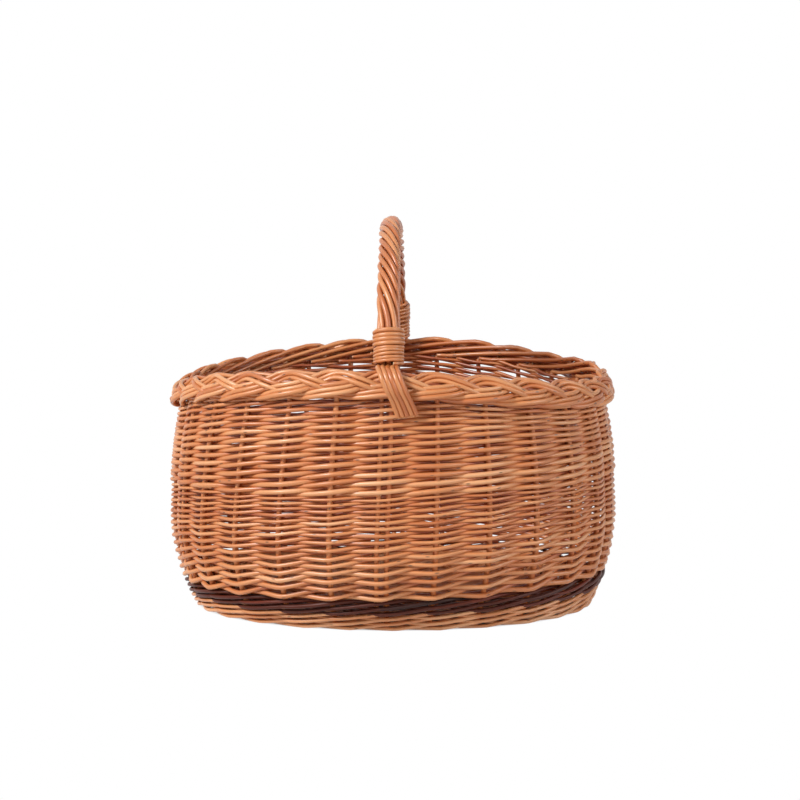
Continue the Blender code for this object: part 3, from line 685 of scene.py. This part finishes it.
def randing(sizes, low, high, layers, butt, taper, seed):
    """A band of French randing: one tapered rod starts at every stake and climbs one layer at each stake.

    A rod lies inside its first stake and outside the next, in turn, as a zigzag of minus the cosine of half
    a turn a stake. The layers' heights add up the rods' own thickness, so the rows are closest where the
    tips are. Each rod is pressed down where it crosses a stake and bows up between two, as a zigzag of minus
    the cosine of a whole turn a stake, most in the lowest rows. A rod is darker towards its tip, and it has
    painted shade where it passes inside a stake.
    """
    rng = np.random.default_rng(seed)
    reach = layers + rng.uniform(-RAGGED_TIPS, RAGGED_TIPS, STAKE_COUNT)
    along = np.linspace(0.0, 1.0, layers * POINTS_PER_STAKE + 1)[None, :]
    places = BUTT_START + (reach[:, None] - BUTT_START) * along
    turns = (np.arange(STAKE_COUNT)[:, None] + places) * STEP + FRONT

    table = np.linspace(BUTT_START, layers + 1.0, CLIMB_STEPS)
    thickness = np.interp(np.clip(table / layers, 0.0, 1.0), *taper)
    climbed = np.concatenate(((0.0,), np.cumsum(0.5 * (thickness[1:] + thickness[:-1]))))
    climbed -= np.interp(0.0, table, climbed)
    butt_half = 0.5 * thickness[0] / (table[1] - table[0])
    whole = np.interp(layers, table, climbed) + butt_half + TIP_HALF_SHARE * butt_half
    share = low + (high - low) * (np.interp(places, table, climbed) + butt_half) / whole

    share = share + wall_waves(turns, share) + rng.normal(0.0, ROW_STRAY, (STAKE_COUNT, 1))
    stray = rng.normal(0.0, ROD_STRAY, (STAKE_COUNT, layers + 3))
    last_stake = np.floor(places).astype(int)
    onward = eased(places - last_stake)
    row = np.arange(STAKE_COUNT)[:, None]
    share = share + stray[row, last_stake + 1] * (1.0 - onward) + stray[row, last_stake + 2] * onward
    bow = zigzag(-np.cos(FULL * places), BOW_STRAIGHTNESS)
    share = share + bow * np.interp(share, BOW_SHARES, BOW_RISES)

    radii = 0.5 * butt * np.interp(np.clip(places / reach[:, None], 0.0, 1.0), *taper)
    radii = radii * rng.uniform(*SIDING_UNEVEN, (STAKE_COUNT, 1)) * (1.0 + TIP_THICKER * places / layers)
    swing = PRESSED_SHARE * (0.5 * sizes.stake + radii)
    weave = np.where(places < 0.0, -1.0, zigzag(-np.cos(np.pi * places), WEAVE_STRAIGHTNESS))
    paths, outward = wall_place(turns, share, swing * weave)
    tones = rng.uniform(*SIDING_TONES, (STAKE_COUNT, 1)) + TIP_DARKER * places / layers
    # Painted shade: the tone darkens where the rod lies inside a stake, in the gaps of the weave
    tones = tones + INSIDE_PAINTED_SHADE * np.clip(INSIDE_START - weave, 0.0, 1.0)
    return rods(paths, radii, outward, tones)


def wale_row(sizes, low, high, thickness, seed, tone_range):
    """One row of three-rod wale, as one closed path that goes round three times, a third of a pattern apart.

    Counted in stakes, the pattern repeats every three: outside two, inside the third. The distance out is a
    sum of two cosines with those values, less a small sine that sets a stroke's start further out than its
    end, and the height is a cosine that is lowest as a stroke comes out. The row swings out nearly level,
    even where the wall leans, and never dips into the floor. Every seven to twelve stakes another rod takes
    over, with its own tone.
    """
    rng = np.random.default_rng(seed)
    place = np.arange(WALE_REPEAT * STAKE_COUNT * POINTS_PER_STAKE) / POINTS_PER_STAKE
    part = FULL * (place - 0.5) / WALE_REPEAT
    once, twice = WALE_COSINES
    weave = WALE_MIDDLE + once * np.cos(part) + twice * np.cos(2.0 * part) + WALE_SINE * np.sin(part)
    turn = place * STEP + FRONT
    uneven = WALE_UNEVEN * np.sin(5.0 * turn / WALE_REPEAT + rng.uniform(0.0, FULL))
    radius = 0.5 * thickness * (1.0 + uneven)
    lift = WALE_LIFT_SHARE * thickness * np.cos(FULL * (place + WALE_LIFT_LEAD) / WALE_REPEAT)
    share = (0.5 * (low + high) - lift) / WALL_HEIGHT_ENDS
    share = share + WALE_WAVES_SHARE * wall_waves(turn, share)
    paths, outward = wall_place(turn, share, 0.0)
    level_out = unit(outward * np.array((1.0, 1.0, WALE_TILT_SHARE)))
    paths = paths + ((0.5 * sizes.stake + radius) * weave)[..., None] * level_out
    paths[..., 2] = np.maximum(paths[..., 2], radius)
    changes = np.cumsum(rng.uniform(*WALE_ROD_STAKES, WALE_RODS))
    tones = rng.uniform(*tone_range, WALE_RODS)[np.searchsorted(changes, place) % WALE_RODS]
    return rods(paths[None], radius[None], outward[None], tones[None], closed=True)


def border_place(turn, up, out):
    """A place in the border's cross-section, up and out from the middle of the plait, which leans in at the
    top, and the direction outwards."""
    turn, up, out = np.broadcast_arrays(turn, up, out)
    share = np.ones(turn.shape)
    rim = stake_line(turn, share)
    outward = unit(np.cross(stake_line(turn + NEAR, share) - rim, UP))
    level = BORDER_UP + (up * np.cos(BORDER_LEAN) + out * np.sin(BORDER_LEAN))
    away = BORDER_OUT - up * np.sin(BORDER_LEAN) + out * np.cos(BORDER_LEAN)
    return rim + away[..., None] * outward + level[..., None] * UP, outward


def make_border(sizes):
    """Plaited border: each stake's rod joins one of three strands, as one of the rods side by side in it.

    A strand's height in the plait is a zigzag of a sine that repeats every three stakes, raised a little at
    both edges. Its depth is minus the sine of twice that angle, a little late, so a strand that leaves an
    edge lies on the outside and one that nears an edge inside. The angle itself runs a little unevenly. A
    rod's lane is its distance from the strand's middle, square to the strand's run, and it moves a lane over
    in each repeat. It comes up from behind, and at its end goes over the top and lies down along the inside.
    Two hoops inside the plait stand for the rods hidden in it, drawn in the darkest tone as painted shade. A
    rod lying on the inside of the plait is darkened with painted shade.
    """
    rng = np.random.default_rng(31)
    thickness = sizes.border
    last_place = PLAIT_END_PLACE + TAIL_LENGTH
    count = int((last_place - JOIN_PLACE) * BORDER_POINTS_PER_STAKE) + 1
    place = np.linspace(JOIN_PLACE, last_place, count)[None, :] + np.zeros((STAKE_COUNT, 1))
    start = np.arange(STAKE_COUNT)[:, None] + BORDER_START
    turn = (start + place + rng.normal(0.0, BORDER_STRAY, (STAKE_COUNT, 1))) * STEP + FRONT

    angle = FULL * place / STRAND_REPEAT - QUARTER
    angle = angle - STRAND_SLOW_START * np.sin(angle) - STRAND_SLOW_EDGES * np.cos(2.0 * angle)
    tilt = np.arctan(STRAND_RISE * (FULL / STRAND_REPEAT) * np.cos(angle) / STAKE_PITCH)
    lane = np.interp(place, LANE_PLACES, (-1.0, -1.0, 0.0, 0.0, 1.0, 1.0)) * LANE_SPACING_SHARE * thickness
    turn = turn - lane * np.sin(tilt) / STAKE_PITCH * STEP
    up = STRAND_RISE * zigzag(np.sin(angle), STRAND_STRAIGHTNESS) - STRAND_EDGE_LIFT * np.cos(2.0 * angle)
    up = up + lane * np.cos(tilt)
    out = -STRAND_DEPTH * np.sin(2.0 * angle - STRAND_LAG)
    out = out + rng.normal(0.0, STRAND_STRAY, (STAKE_COUNT, 1))

    joining = eased(np.clip(place / JOIN_PLACE, 0.0, 1.0))
    up = up - JOIN_DROP * joining
    out = out - JOIN_DEPTH * joining

    over = place > TURN_OVER_PLACE
    plaited = place <= PLAIT_END_PLACE
    leaving = np.clip((place - TURN_OVER_PLACE) / TAIL_LENGTH, 0.0, 1.0)
    top = np.where(plaited, STRAND_RISE * np.sin(angle), STRAND_RISE)
    at_once, soon, slowly = TAIL_DEPTHS
    inside = at_once + soon * np.sqrt(np.clip(TAIL_SOON * leaving, 0.0, 1.0)) + slowly * leaving
    up = np.where(over, top + lane - TAIL_DROP * leaving ** TAIL_DROP_POWER, up)
    out = np.where(over, np.where(plaited, -STRAND_DEPTH * np.sin(2.0 * angle), 0.0) - inside, out)

    paths, outward = border_place(turn, up, out)
    radii = 0.5 * thickness * rng.uniform(*BORDER_UNEVEN, (STAKE_COUNT, 1)) * np.interp(
        place, (JOIN_PLACE, PLAIT_END_PLACE, last_place), BORDER_TAPER)
    tones = rng.uniform(*BORDER_TONES, (STAKE_COUNT, 1))
    # Painted shade: a rod is darker where it lies on the inside of the plait
    tones = tones + BORDER_INSIDE_PAINTED_SHADE * np.clip(-out / STRAND_DEPTH, 0.0, 1.0)
    around = np.arange(HOOP_POINTS_PER_STAKE * STAKE_COUNT) * STEP / HOOP_POINTS_PER_STAKE
    around = (around + FRONT)[None, :]
    hoops, hoops_out = border_place(around, np.array(HOOP_LEVELS)[:, None], -HOOP_DEPTH)
    return [
        rods(paths, radii, outward, tones),
        # Painted shade: the hidden rods' hoops are drawn in the darkest tone
        rods(hoops, HOOP_RADIUS_SHARE * thickness, hoops_out, (HOOP_PAINTED_SHADE_TONE, HOOP_PAINTED_SHADE_TONE), closed=True),
    ]


# Handle

def bow_place(length):
    """Places along the handle's half ellipse, the direction outwards, and its whole length."""
    turn = np.linspace(-QUARTER, QUARTER, 721)
    rise = HANDLE_TOP - BOW_DEPTH - BORDER_TOP
    line = np.stack((0.0 * turn, LEG_REACH * np.sin(turn), BORDER_TOP + rise * np.cos(turn)), axis=1)
    away = unit(np.stack((0.0 * turn, rise * np.sin(turn), LEG_REACH * np.cos(turn)), axis=1))
    lengths = np.concatenate(((0.0,), np.cumsum(np.linalg.norm(np.diff(line, axis=0), axis=1))))
    place = np.stack([np.interp(length, lengths, line[:, axis]) for axis in range(3)], axis=-1)
    outward = np.stack([np.interp(length, lengths, away[:, axis]) for axis in range(3)], axis=-1)
    return place, unit(outward), float(lengths[-1])


def round_bow(length, angle, radius):
    """A place round the bow: its middle + radius * (cos angle * outward + sin angle * the +X direction)."""
    place, outward, _ = bow_place(length)
    away = np.cos(angle)[..., None] * outward + np.sin(angle)[..., None] * ACROSS
    return place + np.asarray(radius)[..., None] * away, away


def opposite(points):
    """The same points half a turn round the basket."""
    return points * np.array((-1.0, -1.0, 1.0))


def handle_shift(points):
    """The handle as it was set in, a little askew: its top over a millimetre to -X, its back leg almost one
    to +X, and its front leg hardly moved."""
    high = np.clip((points[:, 2] - BORDER_TOP) / (HANDLE_TOP - BORDER_TOP), 0.0, 1.0)
    shift = HANDLE_SHIFT + HANDLE_SKEW * points[:, 1] / LEG_REACH + HANDLE_TOP_SHIFT * high
    return points + shift[:, None] * ACROSS


def nearest_place(number):
    """A rod's place round the bow, counted both ways from its outer side."""
    behind = HANDLE_RODS // 2 - 1
    return (number + behind) % HANDLE_RODS - behind


def fan_route(place, thickness):
    """How a handle rod runs below the binding, from the binding down: over the border and down its outside,
    swept to one side. A rod at the bow's inner side ends behind the border instead."""
    angle = np.array(place * FULL / HANDLE_RODS)
    start = round_bow(np.array(BINDING_START - BORDER_TOP), angle, ROPE_CIRCLE)[0]
    if abs(place) > FAN_PLACES:
        return np.array([start - drop * UP for drop in INNER_ROD_DROPS])
    _, rim_y, rim_z = border_place(np.array(FRONT), np.array(0.0), np.array(0.0))[0]
    face = rim_y - FAN_FACE_DEPTH - 0.5 * thickness
    # Given round the border: how far along the way, then Y and Z
    route = np.array((
        (0.06, -LEG_REACH - ROPE_CIRCLE - 0.001, BORDER_TOP + 0.0035),
        (0.20, 0.5 * (rim_y - LEG_REACH) - 0.0055, BORDER_TOP + 0.0020),
        (0.34, rim_y - 0.0060, BORDER_TOP - 0.0010),
        (0.50, face + 0.0006, rim_z + 0.0050),
        (0.66, face, rim_z - 0.0030),
        (0.82, face + 0.0030, rim_z - 0.0120),
        (1.00, face + 0.0072, rim_z - 0.0265 + 0.0006 * place),
    ))
    sideways = place * FAN_SPACING_SHARE * thickness + FAN_MIDDLE
    return np.column_stack((sideways + FAN_SWEEP * route[:, 0] ** FAN_SWEEP_POWER, route[:, 1:]))


def make_handle_rods(sizes):
    """Rods laid round the bow like a rope: the turn round it is an odd polynomial in the distance from the
    top, so the rods lie steeper near the bindings. Below each binding they run down over the border."""
    rng = np.random.default_rng(41)
    thickness = sizes.handle
    step = FULL / HANDLE_RODS
    _, _, whole = bow_place(0.0)
    low = BINDING_START - BORDER_TOP
    free = low + BINDING_LENGTH
    held = np.linspace(low, free, 6)[:-1]
    lengths = np.concatenate((held, np.linspace(free, whole - free, ROPE_POINTS), whole - held[::-1]))
    middle = np.linspace(-1.0, 1.0, ROPE_POINTS)
    twist = sum(share * middle ** power for power, share in ROPE_TWIST)
    twist = ROPE_PLACES * step * np.concatenate((-np.ones(len(held)), twist, np.ones(len(held))))
    sets = []
    for rod in range(HANDLE_RODS):
        wander = ROPE_WANDER * np.sin(lengths * rng.uniform(*ROPE_WANDER_WAVES) + rng.uniform(0.0, FULL))
        rope, _ = round_bow(lengths, rod * step - twist, ROPE_CIRCLE + wander)
        front = fan_route(nearest_place(rod + ROPE_PLACES), thickness)[::-1]
        back = opposite(fan_route(nearest_place(ROPE_PLACES - rod), thickness))
        path = through(np.concatenate((front[:-1], rope[::3], back[1:])), HANDLE_ROD_RINGS)
        radii = 0.5 * thickness * rng.uniform(*HANDLE_UNEVEN) * np.interp(
            np.arange(HANDLE_ROD_RINGS), *HANDLE_ROD_TAPER)
        sets.append(rods(handle_shift(path)[None], radii[None], ACROSS, rng.uniform(*HANDLE_TONES, 1)))
    return sets


def make_bow():
    """The bow's thick core, a rod that tapers down inside the wall at both ends."""
    _, _, whole = bow_place(0.0)
    arch, _, _ = bow_place(np.linspace(0.0, whole, 60))
    shares = np.array(LEG_SHARES)
    leg = wall_place(FRONT, shares, 0.0)[0]
    leg[:, 0] = 0.0
    leg[:, 1] = wall_place(FRONT, shares, -LEG_DEPTH)[0][:, 1]
    path = through(np.concatenate((leg, arch, opposite(leg[::-1]))), CORE_RINGS)
    end_radii = (CORE_TIP_RADIUS, CORE_SHOULDER_SHARE * CORE_RADIUS, CORE_RADIUS)
    radii = np.interp(np.arange(CORE_RINGS), CORE_TAPER_RINGS, end_radii + end_radii[::-1])
    return rods(path[None], radii[None], ACROSS, [CORE_TONE])


def make_binding(sizes, seed, longer):
    """Wraps round a leg of the handle: a flat rod in a helix of nearly ten turns. The lower five droop to
    both sides of a seam, as the cosine of the turn from it, and the upper five lie level, and are wider. The
    wrap follows the rods below it in and out, as the cosine of one wave to a rod."""
    rng = np.random.default_rng(seed)
    wrapped = np.linspace(0.0, BINDING_TURNS, BINDING_POINTS)
    start = BINDING_START - BORDER_TOP + BINDING_GAP
    climb = longer * np.interp(wrapped, *BINDING_CLIMB)
    circle = BINDING_CIRCLE + np.interp(wrapped, *BINDING_ADDED)
    angle = FULL * wrapped + BINDING_ANGLE
    droop = BINDING_DROOP * np.cos(angle - BINDING_SEAM) * np.interp(wrapped, *BINDING_DROOPED)
    ripple = BINDING_RIPPLE * np.sin(wrapped * FULL * BINDING_RIPPLE_WAVES + rng.uniform(0.0, FULL))
    lobes = BINDING_LOBES * np.cos(HANDLE_RODS * angle)
    path, away = round_bow(start + climb + ripple + droop, angle, circle + lobes)
    radii = 0.5 * sizes.binding * np.interp(wrapped, *BINDING_TAPER)
    tones = rng.uniform(*BINDING_TONES, 1)
    return rods(path[None], radii[None], away[None], tones, flat=BINDING_FLATNESS)


# Base

def make_base_sticks(rng):
    """Cross sticks, as long as the base's oval is wide there, and three long sticks that run through their
    middles side by side and fan out at both ends."""
    sets = []
    for place in CROSS_STICK_PLACES:
        reach = BASE_HALF_Y * np.sqrt(1.0 - (place / BASE_HALF_X) ** 2)
        y = np.linspace(-reach, reach, CROSS_STICK_RINGS)
        path = np.stack((np.full_like(y, place), y, np.full_like(y, BASE_LEVEL)), axis=1)
        radii = CROSS_STICK_RADIUS * (1.0 - STICK_TAPER * np.abs(y) / reach)
        sets.append(rods(path[None], radii[None], UP, [rng.uniform(*STICK_TONES)]))
    end_y = BASE_HALF_Y * np.sqrt(1.0 - LONG_STICK_FAN_SHARE ** 2)
    for side in (-1, 0, 1):
        hub_y = side * LONG_STICK_SPACING
        end_x = BASE_HALF_X * (LONG_STICK_FAN_SHARE if side else 1.0)
        x = np.array((*LONG_STICK_BENDS, end_x))
        y = (hub_y, LONG_STICK_BEND_SPREAD * hub_y, side * end_y)
        right = np.column_stack((x, y, np.full(3, BASE_LEVEL)))
        left = right[::-1] * np.array((-1.0, 1.0, 1.0))
        path = through(np.concatenate((left, right)), LONG_STICK_RINGS)
        sets.append(rods(path[None], LONG_STICK_RADIUS, UP, [rng.uniform(*STICK_TONES)]))
    return sets


def make_base_rounds(sizes, rng):
    """Rounds woven over and under the sticks.

    A round is an oval that swells from the hub to the wall, boxy near the hub: x and y are the cosine and
    sine of the turn, each raised to a power. Its height is a cosine that goes from above one stick to below
    the next, so that the rod lies on each stick in turn.
    """
    turn = FULL * np.arange(BASE_ROUND_POINTS) / BASE_ROUND_POINTS
    cosine, sine = np.cos(turn), np.sin(turn)
    crossings = np.array(CROSS_STICK_PLACES[::-1])
    end_turn = np.arctan2(np.sqrt(1.0 - LONG_STICK_FAN_SHARE ** 2), LONG_STICK_FAN_SHARE)
    crossed = np.full(len(crossings), CROSS_STICK_RADIUS)
    sticks = np.concatenate(((LONG_STICK_RADIUS, LONG_STICK_RADIUS), crossed, (LONG_STICK_RADIUS,)))
    sticks = np.concatenate((sticks, sticks, (LONG_STICK_RADIUS,)))
    paths = []
    for number in range(BASE_ROUNDS):
        share = (number + 0.5) / BASE_ROUNDS
        half_x = HUB_HALF_X + (BASE_HALF_X - HUB_HALF_X) * share
        half_y = HUB_HALF_Y + (BASE_HALF_Y - HUB_HALF_Y) * share
        power = 2.0 / (HUB_SQUARENESS - SQUARENESS_FALL * share ** SQUARENESS_FALL_POWER)
        x = half_x * np.sign(cosine) * np.abs(cosine) ** power
        y = half_y * np.sign(sine) * np.abs(sine) ** power
        fan = np.interp(half_x, (*HUB_FAN_REACHES, BASE_HALF_X), (*HUB_FAN_TURNS, end_turn))
        cross = np.arccos(np.sign(crossings) * np.abs(crossings / half_x) ** (1.0 / power))
        stations = np.concatenate(((0.0, fan), cross, (np.pi - fan,)))
        stations = np.concatenate((stations, stations + np.pi, (FULL,)))
        phase = np.interp(turn, stations, np.arange(len(stations))) + number % 2
        swing = np.interp(turn, stations, sticks) + BASE_SWING_SHARE * sizes.base
        paths.append(np.stack((x, y, BASE_LEVEL + swing * np.cos(np.pi * phase)), axis=1))
    radii = 0.5 * sizes.base * rng.uniform(*ROUND_UNEVEN, (BASE_ROUNDS, 1))
    return rods(paths, radii, UP, rng.uniform(*ROUND_TONES, BASE_ROUNDS), closed=True, sides=6)


# Stage

def seen_directly(tree):
    """One where the camera, a mirror or a glass sees the surface, and nought where it only gives light."""
    rays = add_node(tree, "ShaderNodeLightPath").outputs
    seen = add_node(tree, "ShaderNodeMath", {
        0: rays["Is Camera Ray"], 1: rays["Is Glossy Ray"]}, operation="MAXIMUM")
    seen = add_node(tree, "ShaderNodeMath", {
        0: seen.outputs["Value"], 1: rays["Is Transmission Ray"]}, operation="MAXIMUM")
    return seen.outputs["Value"]


def make_floor():
    """A wide floor of pale paper. It is seen white all round the foot, as in the photograph, and as paper
    with the basket's shadow on it inside the foot's oval."""
    mesh = bpy.data.meshes.new("studio_floor")
    corners = [(FLOOR_REACH * x, FLOOR_REACH * y, 0.0) for x, y in ((-1, -1), (1, -1), (1, 1), (-1, 1))]
    mesh.from_pydata(corners, [], [(0, 1, 2, 3)])
    floor = bpy.data.objects.new("studio_floor", mesh)
    floor.location.z = -FLOOR_DROP
    material = bpy.data.materials.new("matt_white_paper")
    material.use_nodes = True
    tree = material.node_tree
    tree.nodes.clear()
    paper = add_node(tree, "ShaderNodeBsdfDiffuse", {"Color": (*linear(PAPER_COLOUR), 1.0)})
    white = add_node(tree, "ShaderNodeEmission", {"Color": WHITE, "Strength": 1.0})
    place = add_node(tree, "ShaderNodeTexCoord").outputs["Object"]
    oval = add_node(tree, "ShaderNodeVectorMath", {
        0: place, 1: (2.0 / BASE_SIZE[0], 2.0 / BASE_SIZE[1], 1.0)}, operation="MULTIPLY")
    reach = add_node(tree, "ShaderNodeVectorMath", {0: oval.outputs["Vector"]}, operation="LENGTH")
    clear = add_node(tree, "ShaderNodeMapRange", {
        "Value": reach.outputs["Value"], "From Min": FLOOR_CLEAR_SHARE, "From Max": 1.0})
    share = add_node(tree, "ShaderNodeMath", {
        0: seen_directly(tree), 1: clear.outputs["Result"]}, operation="MULTIPLY")
    mix = add_node(tree, "ShaderNodeMixShader", {
        0: share.outputs["Value"], 1: paper.outputs["BSDF"], 2: white.outputs["Emission"]})
    add_node(tree, "ShaderNodeOutputMaterial", {"Surface": mix.outputs["Shader"]})
    mesh.materials.append(material)
    bpy.context.scene.collection.objects.link(floor)


def direction(aim):
    """The turn that points a lamp's own -Z along aim, with its Y upwards."""
    return Vector(aim.tolist()).to_track_quat("-Z", "Y")


def make_lights():
    """Soft boxes: a key from the upper left in front, a weak card low in front, a fill from the right, and a
    pale room round all that is seen white."""
    for name, place, size, power in LAMPS:
        lamp = bpy.data.lights.new(name, "AREA")
        lamp.energy = power
        lamp.size = size
        light = bpy.data.objects.new(name, lamp)
        light.location = place
        light.rotation_mode = "QUATERNION"
        light.rotation_quaternion = direction(np.array(LIGHT_AIM) - np.array(place))
        bpy.context.scene.collection.objects.link(light)
    world = bpy.data.worlds.new("pale_room")
    bpy.context.scene.world = world
    world.use_nodes = True
    tree = world.node_tree
    tree.nodes.clear()
    level = add_node(tree, "ShaderNodeMapRange", {
        "Value": seen_directly(tree), "To Min": ROOM_LEVEL, "To Max": 1.0})
    room = add_node(tree, "ShaderNodeBackground", {"Color": WHITE, "Strength": level.outputs["Result"]})
    add_node(tree, "ShaderNodeOutputWorld", {"Surface": room.outputs["Background"]})


def make_camera():
    """A long lens a little above the rim, turned about one degree round the front, as in the photograph."""
    data = bpy.data.cameras.new("photo_camera")
    data.sensor_width = CAMERA_SENSOR_MM
    data.lens = FOCAL_PIXELS / PICTURE_PIXELS * CAMERA_SENSOR_MM
    camera = bpy.data.objects.new("photo_camera", data)
    camera.location = (
        CAMERA_DISTANCE * np.sin(CAMERA_TURN), -CAMERA_DISTANCE * np.cos(CAMERA_TURN), CAMERA_HEIGHT)
    camera.rotation_euler = (QUARTER - CAMERA_PITCH, 0.0, CAMERA_TURN - MIDDLE_SHIFT_PIXELS / FOCAL_PIXELS)
    bpy.context.scene.collection.objects.link(camera)
    bpy.context.scene.camera = camera
    bpy.context.scene.view_settings.view_transform = "Standard"


# Operators

class BASKET_OT_stakes(bpy.types.Operator):
    """Sets the upright stakes"""
    bl_idname = "basket.stakes"
    bl_label = "Stakes"

    def execute(self, context):
        stakes = make_stakes(context.scene.basket_sizes)
        add_piece("stakes", [stakes], peeled(context, "peeled_willow_stakes", roughness=0.46),
                  ("stake_", "handle_stake"))
        return {"FINISHED"}


class BASKET_OT_foot(bpy.types.Operator):
    """Weaves the foot's three rows of pale wale"""
    bl_idname = "basket.foot"
    bl_label = "Foot"

    def execute(self, context):
        sizes = context.scene.basket_sizes
        levels = np.linspace(0.5 * sizes.foot, FOOT_HEIGHT, FOOT_ROWS + 1)
        rows = [wale_row(sizes, low, high, sizes.foot, 70 + number, FOOT_TONES)
                for number, (low, high) in enumerate(zip(levels[:-1], levels[1:]))]
        add_piece("foot_wale", rows, peeled(context, "peeled_willow_foot"), ("foot_wale",))
        return {"FINISHED"}


class BASKET_OT_dark_band(bpy.types.Operator):
    """Weaves the two rows of dark wale with the bark left on"""
    bl_idname = "basket.dark_band"
    bl_label = "Dark Band"

    def execute(self, context):
        sizes = context.scene.basket_sizes
        levels = np.linspace(FOOT_HEIGHT, FOOT_HEIGHT + DARK_BAND_HEIGHT, DARK_ROWS + 1)
        rows = [wale_row(sizes, low, high, sizes.dark, 80 + number, DARK_TONES)
                for number, (low, high) in enumerate(zip(levels[:-1], levels[1:]))]
        add_piece("dark_band", rows, brown(context, "brown_willow_in_bark"), ("dark_wale",))
        return {"FINISHED"}


class BASKET_OT_lower_siding(bpy.types.Operator):
    """Weaves the lower band of the wall, a tapered rod from every stake"""
    bl_idname = "basket.lower_siding"
    bl_label = "Lower Siding"

    def execute(self, context):
        sizes = context.scene.basket_sizes
        low = (FOOT_HEIGHT + DARK_BAND_HEIGHT) / WALL_HEIGHT_ENDS
        high = SIDING_JOIN_HEIGHT / WALL_HEIGHT_ENDS + LOWER_TIPS_OVER
        band = randing(sizes, low, high, LOWER_LAYERS, sizes.lower_butt, LOWER_TAPER, 21)
        add_piece("lower_siding_rods", [band], peeled(context, "peeled_willow_siding"),
                  ("lower_siding",))
        return {"FINISHED"}


class BASKET_OT_upper_siding(bpy.types.Operator):
    """Weaves the upper band of the wall up to the border"""
    bl_idname = "basket.upper_siding"
    bl_label = "Upper Siding"

    def execute(self, context):
        sizes = context.scene.basket_sizes
        low = SIDING_JOIN_HEIGHT / WALL_HEIGHT_ENDS - UPPER_BUTTS_UNDER
        band = randing(sizes, low, UPPER_END_SHARE, UPPER_LAYERS, sizes.upper_butt, UPPER_TAPER, 22)
        add_piece("upper_siding_rods", [band], peeled(context, "peeled_willow_siding"),
                  ("upper_siding",))
        return {"FINISHED"}


class BASKET_OT_border(bpy.types.Operator):
    """Plaits the border from the stakes' long ends"""
    bl_idname = "basket.border"
    bl_label = "Border"

    def execute(self, context):
        border = make_border(context.scene.basket_sizes)
        add_piece("plaited_border_rods", border, peeled(context, "peeled_willow_border"),
                  ("plaited_border",))
        return {"FINISHED"}


class BASKET_OT_handle(bpy.types.Operator):
    """Bends the bow and lays the handle's rods round it"""
    bl_idname = "basket.handle"
    bl_label = "Handle"

    def execute(self, context):
        rope = make_handle_rods(context.scene.basket_sizes)
        material = peeled(context, "peeled_willow_handle", roughness=0.36)
        add_piece("handle_core", [make_bow()], material, ("handle_bow",))
        add_piece("handle_rope", rope, material, ("handle_rod",))
        return {"FINISHED"}


class BASKET_OT_bindings(bpy.types.Operator):
    """Wraps both legs of the handle"""
    bl_idname = "basket.bindings"
    bl_label = "Bindings"

    def execute(self, context):
        sizes = context.scene.basket_sizes
        material = peeled(context, "peeled_willow_binding", roughness=0.34)
        front, back = make_binding(sizes, 51, 1.0), make_binding(sizes, 52, BACK_BINDING_LONGER)
        front["points"] = handle_shift(front["points"])
        back["points"] = handle_shift(opposite(back["points"]))
        add_piece("front_binding", [front], material, ("binding_front",))
        add_piece("back_binding", [back], material, ("binding_back",))
        return {"FINISHED"}


class BASKET_OT_base(bpy.types.Operator):
    """Weaves the oval base"""
    bl_idname = "basket.base"
    bl_label = "Base"

    def execute(self, context):
        rng = np.random.default_rng(61)
        sticks = make_base_sticks(rng)
        rounds = make_base_rounds(context.scene.basket_sizes, rng)
        add_piece("base_sticks", sticks, peeled(context, "peeled_willow_base_sticks", roughness=0.5),
                  ("base_cross_stick", "base_long_stick"))
        add_piece("base_rounds", [rounds], peeled(context, "peeled_willow_base_weave", roughness=0.46),
                  ("base_weave",))
        return {"FINISHED"}


class BASKET_OT_stage(bpy.types.Operator):
    """Sets the pale floor, the soft studio light and the camera"""
    bl_idname = "basket.stage"
    bl_label = "Stage"

    def execute(self, context):
        make_floor()
        make_lights()
        make_camera()
        return {"FINISHED"}


OPERATORS = (
    BASKET_OT_stakes, BASKET_OT_foot, BASKET_OT_dark_band, BASKET_OT_lower_siding, BASKET_OT_upper_siding,
    BASKET_OT_border, BASKET_OT_handle, BASKET_OT_bindings, BASKET_OT_base, BASKET_OT_stage,
)


class BASKET_PT_panel(bpy.types.Panel):
    """The basket's sizes, colours and pieces"""
    bl_idname = "BASKET_PT_panel"
    bl_label = "Foraging Basket"
    bl_space_type = "VIEW_3D"
    bl_region_type = "UI"
    bl_category = "Basket"

    def draw(self, context):
        for settings in (context.scene.basket_sizes, context.scene.basket_colours):
            for key in settings.__annotations__:
                self.layout.prop(settings, key)
        for operator in OPERATORS:
            self.layout.operator(operator.bl_idname)


CLASSES = (BasketSizes, BasketColours, *OPERATORS, BASKET_PT_panel)


def register():
    """Adds the classes, and the basket's sizes and colours to every scene."""
    for each in CLASSES:
        bpy.utils.register_class(each)
    bpy.types.Scene.basket_sizes = bpy.props.PointerProperty(type=BasketSizes)
    bpy.types.Scene.basket_colours = bpy.props.PointerProperty(type=BasketColours)


def unregister():
    """Takes away what register added, in the opposite order."""
    del bpy.types.Scene.basket_colours
    del bpy.types.Scene.basket_sizes
    for each in reversed(CLASSES):
        bpy.utils.unregister_class(each)


def main():
    register()
    bpy.ops.basket.stakes()
    bpy.ops.basket.foot()
    bpy.ops.basket.dark_band()
    bpy.ops.basket.lower_siding()
    bpy.ops.basket.upper_siding()
    bpy.ops.basket.border()
    bpy.ops.basket.handle()
    bpy.ops.basket.bindings()
    bpy.ops.basket.base()
    bpy.ops.basket.stage()


if __name__ == "__main__":
    main()
